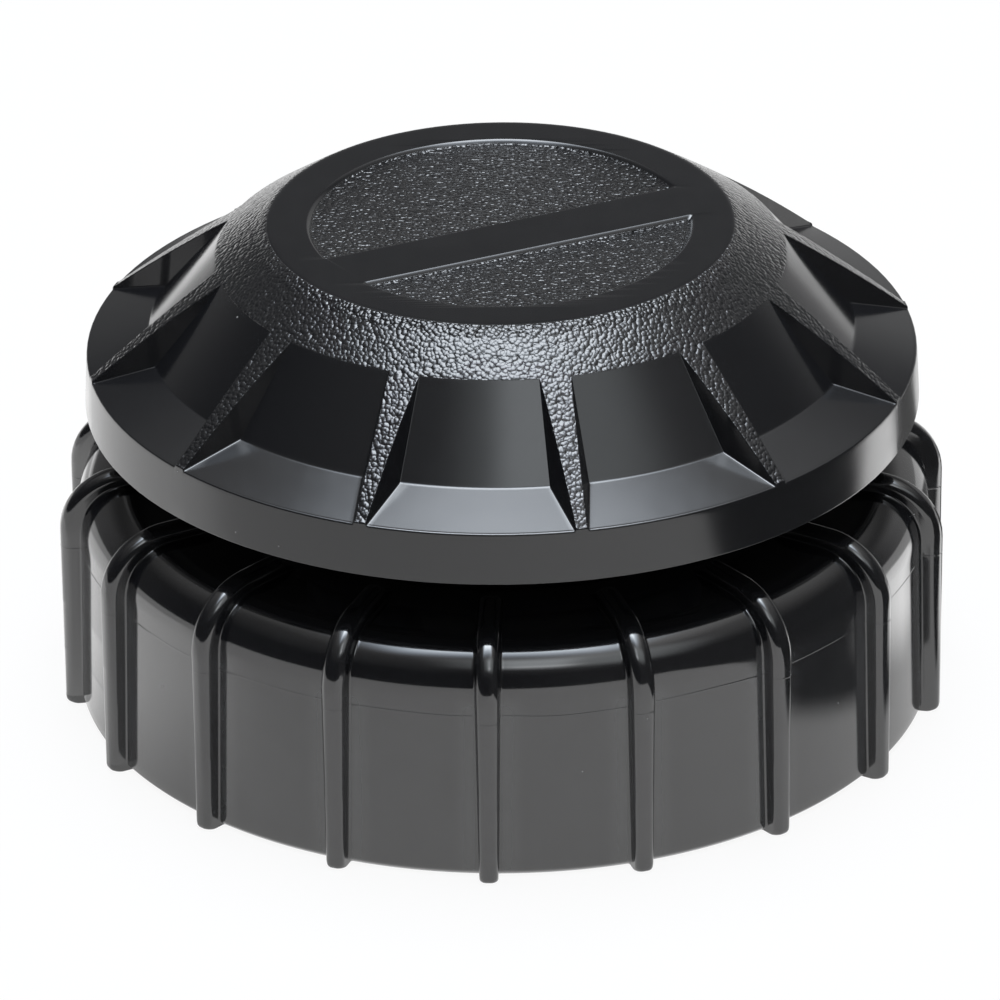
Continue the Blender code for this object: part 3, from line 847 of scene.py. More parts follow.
class AxisRepeat(NodeMaker):
    """Repeats a sector round the axis."""

    def __init__(self) -> None:
        """Build the tree."""
        super().__init__(
            "repeat_round_axis",
            {
                "Geometry": "NodeSocketGeometry",
                "Count": "NodeSocketInt",
                "First Angle": "NodeSocketFloat",
                "Finish": "NodeSocketMaterial",
            },
        )
        graph = self.graph
        index = graph.signal("GeometryNodeInputIndex", {}, {})
        angle = index * math.tau / self.given("Count") + self.given("First Angle")
        turn = graph.node("ShaderNodeCombineXYZ", {}, {"Z": angle})
        rotation = graph.node("FunctionNodeEulerToRotation", {}, {0: turn.outputs[0]})
        points = graph.node("GeometryNodePoints", {}, {"Count": self.given("Count")})
        sockets = {
            "Points": points.outputs[0],
            "Instance": self.given("Geometry"),
            "Rotation": rotation.outputs[0],
        }
        copies = graph.node("GeometryNodeInstanceOnPoints", {}, sockets)
        self.close(copies.outputs[0])

    def repeat(
        self, mesh: bpy.types.Mesh, count: int, first: float, finish: Finish
    ) -> bpy.types.Mesh:
        """Repeat a mesh round the axis.

        Args:
            mesh: One sector, which is used up.
            count: Number of copies.
            first: Angle of the first one.
            finish: Finish of all of them.

        Returns:
            All copies as one mesh.
        """
        values = {"Count": count, "First Angle": first, "Finish": finish.material()}
        return self.run(mesh, values)


class ThreadMaker(NodeMaker):
    """Winds a tapering ridge along a right-handed helix."""

    def __init__(self) -> None:
        """Build the tree."""
        lengths = ("Radius", "Top Height", "Pitch", "Turns", "Reach", "Foot Width", "Crest Width")
        inputs = {title: "NodeSocketFloat" for title in lengths}
        inputs["Steps Per Turn"] = "NodeSocketInt"
        inputs["Finish"] = "NodeSocketMaterial"
        super().__init__("wind_thread", inputs)
        graph = self.graph
        drop = self.given("Pitch") * self.given("Turns") * -1.0
        sockets = {
            "Resolution": self.given("Steps Per Turn"),
            "Rotations": self.given("Turns"),
            "Start Radius": self.given("Radius"),
            "End Radius": self.given("Radius"),
            "Height": drop,
        }
        helix = graph.node("GeometryNodeCurveSpiral", {}, sockets)
        upright = graph.node("GeometryNodeSetCurveNormal", {"mode": "Z_UP"}, {0: helix.outputs[0]})
        along = graph.signal("GeometryNodeSplineParameter", {}, {})
        near_end = along.step(Step.SMALLER, along, 1.0 - along) * self.given("Turns")
        scale = near_end.rise(0.0, 0.12)
        foot = self.given("Foot Width") * 0.5
        crest = self.given("Crest Width") * 0.5
        corners = ((0.0, foot * -1.0), (1.0, crest * -1.0), (1.0, crest), (0.0, foot))
        points = {}
        for number, (out, across) in enumerate(corners, start=1):
            values = {"X": self.given("Reach") * out, "Y": across}
            corner = graph.node("ShaderNodeCombineXYZ", {}, values)
            points[f"Point {number}"] = corner.outputs[0]
        section = graph.node("GeometryNodeCurvePrimitiveQuadrilateral", {"mode": "POINTS"}, points)
        sockets = {
            "Curve": upright.outputs[0],
            "Profile Curve": section.outputs[0],
            "Scale": scale,
            "Fill Caps": True,
        }
        ridge = graph.node("GeometryNodeCurveToMesh", {}, sockets)
        lift = graph.node("ShaderNodeCombineXYZ", {}, {"Z": self.given("Top Height")})
        sockets = {"Geometry": ridge.outputs[0], "Translation": lift.outputs[0]}
        raised = graph.node("GeometryNodeTransform", {}, sockets)
        self.close(raised.outputs[0])


@dataclass
class Workshop:
    """Geometry Nodes trees that several sub-assemblies share."""

    axis: AxisRepeat = field(default_factory=AxisRepeat)
    thread: ThreadMaker = field(default_factory=ThreadMaker)


@dataclass(frozen=True)
class RibRow:
    """One row of the collar's outer surface, with the rib's size and direction on it."""

    radius: float
    height: float
    out: float = 1.0
    up: float = 0.0
    rise: float = 0.0
    width: float = 0.0
    share: float = 1.0


@dataclass
class ScrewCollar:
    """Glossy collar with eighteen grip ribs and a female thread."""

    rim_radius: float = 30.0 * MM
    draft: float = 0.2 * MM
    height: float = 17.0 * MM
    shoulder_fillet: float = 3.5 * MM
    rim_chamfer: float = 0.5 * MM
    bore_radius: float = 20.2 * MM
    thread_root_radius: float = 28.2 * MM
    plate_underside: float = 14.6 * MM
    edge_round: float = 0.4 * MM
    rib_count: int = RIB_COUNT
    rib_first_angle: float = RIB_FIRST_ANGLE
    rib_width: float = 1.7 * MM
    rib_foot_width: float = 1.3 * MM
    rib_height: float = 1.05 * MM
    rib_side_height: float = 1.4 * MM
    rib_foot_height: float = 1.16 * MM
    rib_flat: float = 0.15 * MM
    rib_end_radius: float = 22.2 * MM
    rib_end_height: float = 0.35 * MM
    rib_root_fillet: float = 0.16 * MM
    thread_pitch: float = 3.2 * MM
    thread_turns: float = 3.1
    thread_reach: float = 1.1 * MM
    thread_foot: float = 1.9 * MM
    thread_crest: float = 0.7 * MM
    thread_top: float = 12.6 * MM

    def rib_section(self, row: RibRow) -> Outline:
        """Half section of a rib and its root fillet, as (sideways, outward) from the wall."""
        half = row.width / 2
        round_radius = half - self.rib_flat
        crown: Outline = [(0.0, row.rise)]
        for step in range(8):
            angle = math.radians(90.0 * step / 7)
            out = row.rise - round_radius * (1.0 - math.cos(angle))
            crown.append((self.rib_flat + round_radius * math.sin(angle), out))
        reach = self.rib_root_fillet
        corners = [(half, reach * 2.2, 0.0), (half, 0.0, reach), (half + reach * 2.2, 0.0, 0.0)]
        return crown + eased(corners, 4, closed=False)[1:-1]

    def outer_rows(self) -> list[RibRow]:
        """Rows of the outer surface that carry the ribs, from the rim to the plate."""
        start = self.height - self.shoulder_fillet
        foot = self.rim_radius + self.rib_foot_height
        low = {"rise": self.rib_foot_height, "width": self.rib_foot_width}
        rows = [RibRow(self.rim_radius - self.rim_chamfer - 0.08 * MM, 0.0, share=0.0, **low)]
        chamfer = ((0.0, 0.5, 0.32), (0.10, 0.38, 0.13), (0.24, 0.24, 0.03), (0.40, 0.08, 0.0))
        for height, inset, crest_inset in chamfer:
            radius = self.rim_radius - inset * MM
            out = (foot - crest_inset * MM - radius) / self.rib_foot_height
            rows.append(RibRow(radius, height * MM, out, **low))
        for height in (0.6, 1.2, 2.6, 5.0, 7.5, 10.0, 12.0, 13.0):
            share = height * MM / start
            rise = self.rib_foot_height + (self.rib_side_height - self.rib_foot_height) * share
            width = self.rib_foot_width + (self.rib_width - self.rib_foot_width) * share
            radius = self.rim_radius - self.draft * share
            rows.append(RibRow(radius, height * MM, rise=rise, width=width))
        middle = self.rim_radius - self.draft - self.shoulder_fillet
        for step in range(15):
            lean = math.radians(90.0 * step / 14)
            out, up = math.cos(lean), math.sin(lean)
            rise = self.rib_side_height * out**2 + self.rib_height * up**2
            radius = middle + self.shoulder_fillet * out
            height = start + self.shoulder_fillet * up
            rows.append(RibRow(radius, height, out, up, rise, self.rib_width))
        on_plate = {"out": 0.0, "up": 1.0, "rise": self.rib_height, "width": self.rib_width}
        slope = self.rib_height * 0.92
        low_share = self.rib_end_height / self.rib_height
        run_out = [(3.1, 1.0), (1.9, 1.0), (1.25, 1.0), (1.0, 0.97), (0.75, 0.82), (0.5, 0.64)]
        run_out += [(0.25, low_share * 1.45), (0.06, low_share), (0.01, low_share * 0.8)]
        run_out += [(-0.03, low_share * 0.4), (-0.07, low_share * 0.12), (-0.14, 0.0), (-0.7, 0.0)]
        for reach, share in run_out:
            radius = self.rib_end_radius + reach * (slope if reach > 0.0 else MM)
            rows.append(RibRow(radius, self.height, share=share, **on_plate))
        return rows

    def inner_rows(self) -> Outline:
        """Rows from the plate's edge down the bore and thread wall back to the rim."""
        corners = [
            (self.bore_radius + 0.9 * MM, self.height, 0.0),
            (self.bore_radius, self.height, self.edge_round),
            (self.bore_radius, self.plate_underside, 0.15 * MM),
            (self.thread_root_radius, self.plate_underside, 0.5 * MM),
            (self.thread_root_radius, 0.0, 0.3 * MM),
            (self.rim_radius - self.rim_chamfer - 0.5 * MM, 0.0, 0.0),
        ]
        return eased(corners, 4, closed=False)

    def sector(self) -> bpy.types.Mesh:
        """One pitch of the collar, centred on its rib.

        Returns:
            The sector's mesh.
        """
        skin = Skin()
        rows = []
        angles: list[float] = []
        for row in reversed(self.outer_rows()):
            section = self.rib_section(row)
            half = []
            for sideways, rise in section:
                x = math.sqrt(row.radius**2 - sideways**2) + row.out * rise * row.share
                half.append(Vector((x, sideways, row.height + row.up * rise * row.share)))
            angles = [math.asin(sideways / row.radius) for sideways, _ in section]
            gap = math.pi / self.rib_count - angles[-1]
            angles += [angles[-1] + gap * share for share in (0.03, 0.2, 0.4, 0.6, 0.8, 1.0)]
            half += ring(row.radius, row.height, angles[len(section) :])
            rows.append(skin.row(self.mirrored(half)))
        for radius, height in reversed(self.inner_rows()):
            rows.append(skin.row(self.mirrored(ring(radius, height, angles))))
        rows.append(rows[0])
        skin.skin(rows, closed=False)
        return skin.mesh("collar_sector")

    @staticmethod
    def mirrored(half: Sequence[Vector]) -> list[Vector]:
        """Whole row from the half on the positive side, middle point first."""
        other = [Vector((point.x, -point.y, point.z)) for point in reversed(half[1:])]
        return other + list(half)

    def build(self, shop: Workshop) -> bpy.types.Object:
        """Make the collar.

        Args:
            shop: Shared Geometry Nodes trees.

        Returns:
            The dressed piece.
        """
        whole = Skin()
        whole.take(
            shop.axis.repeat(self.sector(), self.rib_count, self.rib_first_angle, COLLAR_FINISH)
        )
        thread = {
            "Radius": self.thread_root_radius + 0.3 * MM,
            "Top Height": self.thread_top,
            "Pitch": self.thread_pitch,
            "Turns": self.thread_turns,
            "Reach": self.thread_reach + 0.3 * MM,
            "Foot Width": self.thread_foot,
            "Crest Width": self.thread_crest,
            "Steps Per Turn": COLLAR_THREAD_STEPS,
            "Finish": COLLAR_FINISH.material(),
        }
        whole.take(shop.thread.run(bpy.data.meshes.new("thread"), thread))
        piece = shown("collar_moulding", whole.mesh("collar_moulding"), COLLAR_FINISH)
        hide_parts("collar")
        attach(piece, Body.COLLAR.value)
        return piece


@dataclass
class Hood:
    """Domed hood with twelve drafted pockets between grained tongues."""

    skirt_radius: float = 29.04 * MM
    skirt_draft: float = 0.18 * MM
    skirt_bottom: float = 21.9 * MM
    skirt_top: float = 25.7 * MM
    height: float = 35.0 * MM
    flat_top_radius: float = 16.2 * MM
    bulge: float = 0.32 * MM
    wall: float = 1.8 * MM
    roof_underside: float = 32.5 * MM
    tongue_count: int = 12
    tongue_first_angle: float = math.radians(-79.5)
    pocket_top_radius: float = 19.76 * MM
    crease_radius: float = 24.56 * MM
    crease_height: float = 26.9 * MM
    ledge_lip: float = 0.12 * MM
    tongue_top_width: float = 2.2 * MM
    tongue_tip_width: float = 0.8 * MM
    crease_spread: float = 0.6 * MM
    edge_reach: float = 0.07 * MM
    corner_reach: float = 0.11 * MM
    skirt_edge_reach: float = 0.16 * MM
    field_radius: float = 13.2 * MM
    plain_depth: float = 0.2 * MM
    first_inside_row: int = 7
    band_angle: float = math.radians(24.3)
    band_lower_offset: float = -4.87 * MM
    band_upper_offset: float = -0.09 * MM
    disc_radius: float = 15.2 * MM
    post_circle_radius: float = POST_CIRCLE_RADIUS
    boss_radius: float = 3.5 * MM
    boss_bottom: float = 26.7 * MM
    pilot_radius: float = 1.7 * MM
    pilot_end: float = 32.3 * MM
    gusset_thickness: float = 1.2 * MM
    gusset_lift: float = 1.2 * MM

    @property
    def skirt_top_radius(self) -> float:
        """Radius of the skirt's top edge."""
        return self.skirt_radius - self.skirt_draft

    def dome(self, radius: float) -> float:
        """Height of the dome at a radius."""
        share = (radius - self.flat_top_radius) / (self.skirt_top_radius - self.flat_top_radius)
        chord = self.height + (self.skirt_top - self.height) * share
        return chord + 4.0 * self.bulge * share * (1.0 - share)

    def dome_line(self) -> Outline:
        """Line of the dome from the disc's edge to the skirt, with a rounded top edge."""
        corners = [(self.disc_radius, self.height, 0.0)]
        corners.append((self.flat_top_radius, self.height, 0.2 * MM))
        for step in range(1, 17):
            share = step / 16
            radius = self.flat_top_radius + share * (self.skirt_top_radius - self.flat_top_radius)
            corners.append((radius, self.dome(radius), 0.0))
        return eased(corners, 6, closed=False)

    def pocket_line(self) -> Outline:
        """Line of a pocket's middle, from the dome band over the crease to the skirt."""
        start = self.pocket_top_radius - 0.8 * MM
        end = self.skirt_top_radius
        corners = [
            (start, self.dome(start), 0.0),
            (self.pocket_top_radius, self.dome(self.pocket_top_radius), 0.10 * MM),
            (self.crease_radius, self.crease_height, 0.10 * MM),
            (end, self.skirt_top - self.ledge_lip, 0.0),
        ]
        return eased(corners, 4, closed=False)

    def tongue_half(self, radius: float, height: float) -> float:
        """Half width of a tongue on its drafted side wall.

        Args:
            radius: Distance from the hood's axis.
            height: Height on the wall.

        Returns:
            Half of the width there.
        """
        top_height = self.dome(self.pocket_top_radius)
        top = Vector((self.pocket_top_radius, top_height, self.tongue_top_width / 2))
        tip = Vector((self.skirt_top_radius, self.skirt_top, self.tongue_tip_width / 2))
        share = (self.crease_radius - top.x) / (tip.x - top.x)
        width = self.tongue_top_width + (self.tongue_tip_width - self.tongue_top_width) * share
        foot = Vector((self.crease_radius, self.crease_height, width / 2 + self.crease_spread))
        normal = (tip - top).cross(foot - top)
        return top.z - (normal.x * (radius - top.x) + normal.y * (height - top.y)) / normal.z

    def section(self, radius: float, high: float, low: float) -> list[tuple[float, float, float]]:
        """Half section across a tongue and pocket at one radius.

        Args:
            radius: Where the section is taken.
            high: Height of the tongue's top.
            low: Height of the pocket's floor.

        Returns:
            Points as (angle, height, grain mark), from the tongue's middle to the pocket's.
        """
        held = max(radius, self.pocket_top_radius)
        top_half = self.tongue_half(held, self.dome(held))
        floor = min(low, high)
        sunk = self.dome(held) - floor if radius > self.pocket_top_radius else 0.0
        foot_half = self.tongue_half(held, self.dome(held) - sunk)
        wall = Vector((foot_half - top_half, floor - high))
        length = wall.length
        down = wall / length if length > 1e-7 else Vector((0.0, -1.0))
        top = Vector((top_half, high))
        foot = Vector((foot_half, floor))
        points: list[tuple[float, float, float]] = []
        for share in (0.0, 0.4, 0.75, 0.92):
            points.append(((top_half - self.edge_reach) * share, high, GRAINED))
        start = top - Vector((self.edge_reach, 0.0))
        end = top + down * min(self.edge_reach, length * 0.4)
        for step, spot in enumerate(bend(start, top, end, 4)):
            points.append((spot.x, spot.y, 1.0 - step / 4))
        past_crease = min(max((radius - self.crease_radius) / (0.15 * MM), 0.0), 1.0)
        reach = self.corner_reach * (0.3 + 0.7 * past_crease)
        start = foot - down * min(reach, length * 0.4)
        end = foot + Vector((reach, 0.0))
        points += [(spot.x, spot.y, SMOOTH) for spot in bend(start, foot, end, 4)]
        section = [(math.asin(s / held), height, mark) for s, height, mark in points]
        edge = section[-1][0]
        pitch = math.pi / self.tongue_count
        for share in (0.04, 0.2, 0.4, 0.6, 0.8, 1.0):
            section.append((edge + (pitch - edge) * share, floor, SMOOTH))
        if radius < self.pocket_top_radius + 0.01 * MM:
            grained = GRAINED if radius > self.flat_top_radius - 0.02 * MM else SMOOTH
            section = [(angle, height, grained) for angle, height, _ in section]
        return section

    def radii(self) -> list[float]:
        """Radii of the rows from the disc's edge to the skirt."""
        spread = (16.6, 17.2, 17.8, 18.4, 19.0, 19.3, 19.5, 20.0, 20.5, 21.1, 21.8, 22.5, 23.2)
        spread += (23.8, 24.2, 24.4, 24.75, 25.1, 25.7, 26.4, 27.1, 27.8, 28.3, 28.6)
        lines = [x for x, _ in self.dome_line() if x < self.flat_top_radius + 0.5 * MM]
        lines += [x for x, _ in self.pocket_line()[1:-1]]
        lines += [self.disc_radius, 15.6 * MM, 15.78 * MM, self.pocket_top_radius - 0.14 * MM]
        lines += [value * MM for value in spread]
        lines.append(self.skirt_top_radius - self.skirt_edge_reach)
        ordered = sorted(set(round(value, 8) for value in lines))
        return [value for value in ordered if value <= lines[-1]]

    def skirt_line(self) -> Outline:
        """Line of the skirt and the inside, from under the top edge to the roof."""
        floor_run = self.crease_radius - self.pocket_top_radius
        slope = math.atan2(self.dome(self.pocket_top_radius) - self.crease_height, floor_run)
        shift = Vector((-math.sin(slope), -math.cos(slope))) * self.wall
        high = Vector((self.pocket_top_radius, self.dome(self.pocket_top_radius))) + shift
        low = Vector((self.crease_radius, self.crease_height)) + shift
        inner = self.skirt_radius - self.wall
        fall = self.skirt_draft / (self.skirt_top - self.skirt_bottom)
        start = self.skirt_top - 0.5 * MM
        corners = [
            (self.skirt_radius - (start - self.skirt_bottom) * fall, start, 0.0),
            (self.skirt_radius - (start - self.skirt_bottom) * fall * 0.4, 23.3 * MM, 0.0),
            (self.skirt_radius, self.skirt_bottom, 0.12 * MM),
            (inner, self.skirt_bottom, 0.25 * MM),
            (inner, self.skirt_top - self.wall, 0.4 * MM),
            (low.x, low.y, 0.3 * MM),
            (high.x, high.y, 0.3 * MM),
            (self.flat_top_radius, self.roof_underside, 0.3 * MM),
            (self.disc_radius, self.roof_underside, 0.0),
        ]
        return eased(corners, 4, closed=False)

    def sector(self) -> bpy.types.Mesh:
        """One pitch of the hood, centred on its tongue.

        Returns:
            The sector's mesh, open at the disc and at the roof.
        """
        skin = Skin()
        dome_line, pocket_line = self.dome_line(), self.pocket_line()
        rows = []
        section: list[tuple[float, float, float]] = []
        for radius in self.radii():
            high = height_at(dome_line, radius)
            low = high if radius < pocket_line[0][0] else height_at(pocket_line, radius)
            section = self.section(radius, high, low)
            rows.append(self.sector_row(skin, [(radius, *point) for point in section]))
        end = self.skirt_top_radius
        reach = self.skirt_edge_reach
        for step in range(1, 5):
            share = step / 4
            radius = end - reach * (1.0 - share) ** 2
            row = [(radius, a, z - reach * share**2, m * (1 - share)) for a, z, m in section]
            rows.append(self.sector_row(skin, row))
        for index, (radius, height) in enumerate(self.skirt_line()):
            mark = INSIDE if index >= self.first_inside_row else SMOOTH
            row = [(radius, angle, height, mark) for angle, _, _ in section]
            rows.append(self.sector_row(skin, row))
        skin.skin(rows, closed=False)
        return skin.mesh("hood_sector")

    @staticmethod
    def sector_row(skin: Skin, half: Sequence[tuple[float, float, float, float]]) -> list:
        """Add a whole row from its half.

        Args:
            skin: The mesh in the making.
            half: Points as (radius, angle, height, grain mark), tongue's middle first.

        Returns:
            The row's vertices.
        """
        whole = [(r, -a, z, m) for r, a, z, m in reversed(half[1:])] + list(half)
        places = [ring(radius, height, [angle])[0] for radius, angle, height, _ in whole]
        return skin.row(places, [mark for *_, mark in whole])

    def field_edge(self, side: float, inset: float) -> Outline:
        """Outline of a sunk field.

        Args:
            side: -1 for the field below the band, 1 for the one above it.
            inset: How far the outline lies inside the field's true edge.

        Returns:
            The outline, with rounded corners.
        """
        offset = self.band_lower_offset if side < 0 else self.band_upper_offset
        offset += side * inset
        radius = self.field_radius - inset
        start = math.asin(offset / radius)
        sweep = side * math.pi - 2.0 * start
        points = []
        for step in range(73):
            angle = start + sweep * step / 72
            points.append((radius * math.cos(angle), radius * math.sin(angle)))
        corners = [(x, y, 0.0) for x, y in points]
        corners[0] = (*points[0], 0.35 * MM)
        corners[-1] = (*points[-1], 0.35 * MM)
        turn = Matrix.Rotation(self.band_angle, 2)
        return [tuple(turn @ Vector(point)) for point in eased(corners, 5)]

    def disc(self, rim: Sequence[Vector]) -> bpy.types.Mesh:
        """Flat top with its two sunk fields.

        Args:
            rim: Places of the sectors' open edge, in order.

        Returns:
            The disc's mesh.
        """
        skin = Skin()
        levels = ((-0.24, 0.0), (-0.20, 0.004), (-0.14, 0.03), (-0.06, 0.09), (0.03, 0.18))
        levels += ((0.10, 0.25), (0.14, 0.285), (0.20, 0.30))
        edges = []
        for side in (-1.0, 1.0):
            rows = []
            for inset, depth in levels:
                outline = self.field_edge(side, inset * MM)
                height = self.height - depth * MM
                mark = GRAINED if depth * MM > self.plain_depth else SMOOTH
                rows.append(skin.row([Vector((x, y, height)) for x, y in outline], mark))
            skin.skin(rows)
            skin.cap(rows[-1])
            edges.append([vertex.co.copy() for vertex in rows[0]])
        skin.fill_between([list(rim), *edges])
        return skin.mesh("hood_disc")

    def boss(self) -> bpy.types.Mesh:
        """One screw boss with its pilot hole and gusset, on the positive X side."""
        skin = Skin()
        root = self.roof_underside + 0.4 * MM
        outline = [
            (0.0, self.pilot_end, 0.0),
            (self.pilot_radius, self.pilot_end, 0.0),
            (self.pilot_radius, self.boss_bottom, 0.2 * MM),
            (self.boss_radius, self.boss_bottom, 0.2 * MM),
            (self.boss_radius, root, 0.0),
            (0.0, root, 0.0),
        ]
        section = eased(outline, 4, closed=False)
        skin.turned(section, BOSS_SIDES, (self.post_circle_radius, 0.0, 0.0))
        half = self.gusset_thickness / 2
        start = self.post_circle_radius + self.boss_radius - 0.4 * MM
        low = self.boss_bottom + self.gusset_lift
        fall = self.dome(self.pocket_top_radius) - self.crease_height
        run = self.crease_radius - self.pocket_top_radius
        outer = self.crease_radius - (low - self.crease_height) * run / fall - self.wall / 2
        plan = ((start, low), (outer, low), (self.flat_top_radius + self.wall, root), (start, root))
        skin.loft([[Vector((x, y, z)) for x, z in plan] for y in (-half, half)])
        return skin.mesh("hood_boss")

    def build(self, shop: Workshop) -> bpy.types.Object:
        """Make the hood.

        Args:
            shop: Shared Geometry Nodes trees.

        Returns:
            The dressed piece.
        """
        whole = Skin()
        first = self.tongue_first_angle
        whole.take(shop.axis.repeat(self.sector(), self.tongue_count, first, HOOD_FINISH))
        whole.merge()
        for height in (self.height, self.roof_underside):
            rim = self.open_edge(whole, height)
            if height == self.height:
                whole.take(self.disc(rim))
            else:
                whole.cap(whole.row(rim, INSIDE))
        whole.take(shop.axis.repeat(self.boss(), POST_COUNT, POST_FIRST_ANGLE, HOOD_FINISH))
        piece = shown("hood_moulding", whole.mesh("hood_moulding"), HOOD_FINISH)
        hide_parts("hood")
        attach(piece, Body.BONNET.value)
        return piece

    def open_edge(self, whole: Skin, height: float) -> list[Vector]:
        """Places of the open ring at the disc's radius.

        Args:
            whole: The mesh in the making.
            height: Height of the ring.

        Returns:
            The places, ordered by angle.
        """
        found = [
            vertex.co.copy()
            for vertex in whole.shape.verts
            if vertex.is_boundary and abs(vertex.co.z - height) < 0.01 * MM
        ]
        return sorted(found, key=lambda place: math.atan2(place.y, place.x))


@dataclass
class Bonnet:
    """Black bonnet with posts and stem guide, refined from its solid."""

    edge: float = 0.12 * MM
    merge_distance: float = 0.003 * MM
    flat_angle: float = math.radians(1.0)
    edge_angle: float = math.radians(32.0)

    def build(self, nodes: dict[str, bpy.types.Object]) -> bpy.types.Object:
        """Make the bonnet.

        Args:
            nodes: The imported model's nodes.

        Returns:
            The dressed piece.
        """
        copy = bmesh.new()
        copy.from_mesh(nodes["bonnet"].data)
        bmesh.ops.remove_doubles(copy, verts=copy.verts, dist=self.merge_distance)
        every = {"verts": list(copy.verts), "edges": list(copy.edges)}
        bmesh.ops.dissolve_limit(copy, angle_limit=self.flat_angle, **every)
        mesh = bpy.data.meshes.new("bonnet_copy")
        copy.to_mesh(mesh)
        copy.free()
        mesh.shade_smooth()
        holder = placed("bonnet_copy", mesh)
        bevel = holder.modifiers.new("edges", "BEVEL")
        bevel.width = self.edge
        bevel.segments = 2
        bevel.limit_method = "ANGLE"
        bevel.angle_limit = self.edge_angle
        bevel.use_clamp_overlap = True
        rounded = evaluated(holder)
        bpy.data.objects.remove(holder)
        bpy.data.meshes.remove(mesh)
        piece = shown("bonnet_moulding", rounded, BONNET_FINISH)
        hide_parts("bonnet")
        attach(piece, Body.BONNET.value)
        return piece


@dataclass
class HoodScrews:
    """Four self-tapping screws that hold the hood on the posts."""

    circle_radius: float = POST_CIRCLE_RADIUS
    count: int = POST_COUNT
    first_angle: float = POST_FIRST_ANGLE
    head_bottom: float = 21.0 * MM
    bearing: float = 22.7 * MM
    head_radius: float = 2.6 * MM
    crown: float = 0.5 * MM
    core_radius: float = 1.1 * MM
    crest_radius: float = 1.6 * MM
    tip: float = 31.5 * MM
    point_length: float = 1.4 * MM
    pitch: float = 1.1 * MM
    recess_reach: float = 1.5 * MM
    recess_arm: float = 0.36 * MM
    recess_depth: float = 1.1 * MM

    def recess(self, scale: float, height: float) -> list[Vector]:
        """Outline of the cross recess.

        Args:
            scale: Size of the cross against its size at the head's face.
            height: Height of the outline.

        Returns:
            Its points about the screw's own axis.
        """
        arm = self.recess_arm
        reach = self.recess_reach * scale
        points = []
        for quarter in range(4):
            turn = Matrix.Rotation(math.radians(90.0 * quarter), 2)
            for x, y in ((reach, -arm), (reach, arm), (arm, arm)):
                point = turn @ Vector((x, y * (0.5 + 0.5 * scale)))
                points.append(Vector((*point, height)))
        return points

    def body(self) -> bpy.types.Mesh:
        """One screw without its thread, at the first place on the X axis."""
        skin = Skin()
        corners = [
            (self.head_radius - 2.2 * self.crown, self.head_bottom, 0.0),
            (self.head_radius - self.crown * 0.2, self.head_bottom, 0.4 * MM),
            (self.head_radius, self.bearing, 0.15 * MM),
            (self.core_radius, self.bearing, 0.1 * MM),
            (self.core_radius, self.tip - self.point_length, 0.2 * MM),
            (0.15 * MM, self.tip, 0.1 * MM),
            (0.0, self.tip, 0.0),
        ]
        rows = skin.rings(eased(corners, 4, closed=False), SCREW_SIDES)
        skin.skin(rows)
        levels = ((1.0, 0.0), (0.97, 0.06 * MM), (0.55, self.recess_depth * 0.8))
        walls = [skin.row(self.recess(s, self.head_bottom + drop)) for s, drop in levels]
        skin.skin(walls)
        skin.cap(walls[-1])
        face = [[vertex.co.copy() for vertex in rows[0]], self.recess(1.0, self.head_bottom)]
        skin.fill_between(face)
        return skin.mesh("screw_body")

    def build(self, shop: Workshop) -> bpy.types.Object:
        """Make the four screws as one piece.

        Args:
            shop: Shared Geometry Nodes trees.

        Returns:
            The dressed piece.
        """
        one = Skin()
        one.take(self.body())
        turns = (self.tip - self.bearing - 0.9 * MM) / self.pitch
        thread = {
            "Radius": self.core_radius - 0.1 * MM,
            "Top Height": self.tip - 0.35 * MM,
            "Pitch": self.pitch,
            "Turns": turns,
            "Reach": self.core_radius - self.crest_radius - 0.1 * MM,
            "Foot Width": 0.55 * MM,
            "Crest Width": 0.08 * MM,
            "Steps Per Turn": SCREW_THREAD_STEPS,
            "Finish": STEEL_FINISH.material(),
        }
        one.take(shop.thread.run(bpy.data.meshes.new("thread"), thread))
        shift = Vector((self.circle_radius, 0.0, 0.0))
        bmesh.ops.translate(one.shape, verts=one.shape.verts, vec=shift)
        screw = one.mesh("screw")
        whole = shop.axis.repeat(screw, self.count, self.first_angle, STEEL_FINISH)
        piece = shown("hood_screw_set", whole, STEEL_FINISH)
        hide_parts("hood_screw_1", "hood_screw_2", "hood_screw_3", "hood_screw_4")
        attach(piece, Body.BONNET.value)
        return piece


@dataclass
class BodySeal:
    """O-ring in the spigot's groove."""

    middle_radius: float = 21.8 * MM
    middle_height: float = 8.9 * MM
    section_radius: float = 1.0 * MM

    def build(self) -> bpy.types.Object:
        """Make the O-ring."""
        section = []
        for angle in full_turn(SEAL_SECTION_SIDES):
            radius = self.middle_radius + self.section_radius * math.cos(angle)
            section.append((radius, self.middle_height + self.section_radius * math.sin(angle)))
        skin = Skin()
        skin.turned(section, SEAL_SIDES)
        piece = shown("o_ring", skin.mesh("o_ring"), RUBBER_FINISH)
        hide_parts("body_o_ring")
        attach(piece, Body.BONNET.value)
        return piece


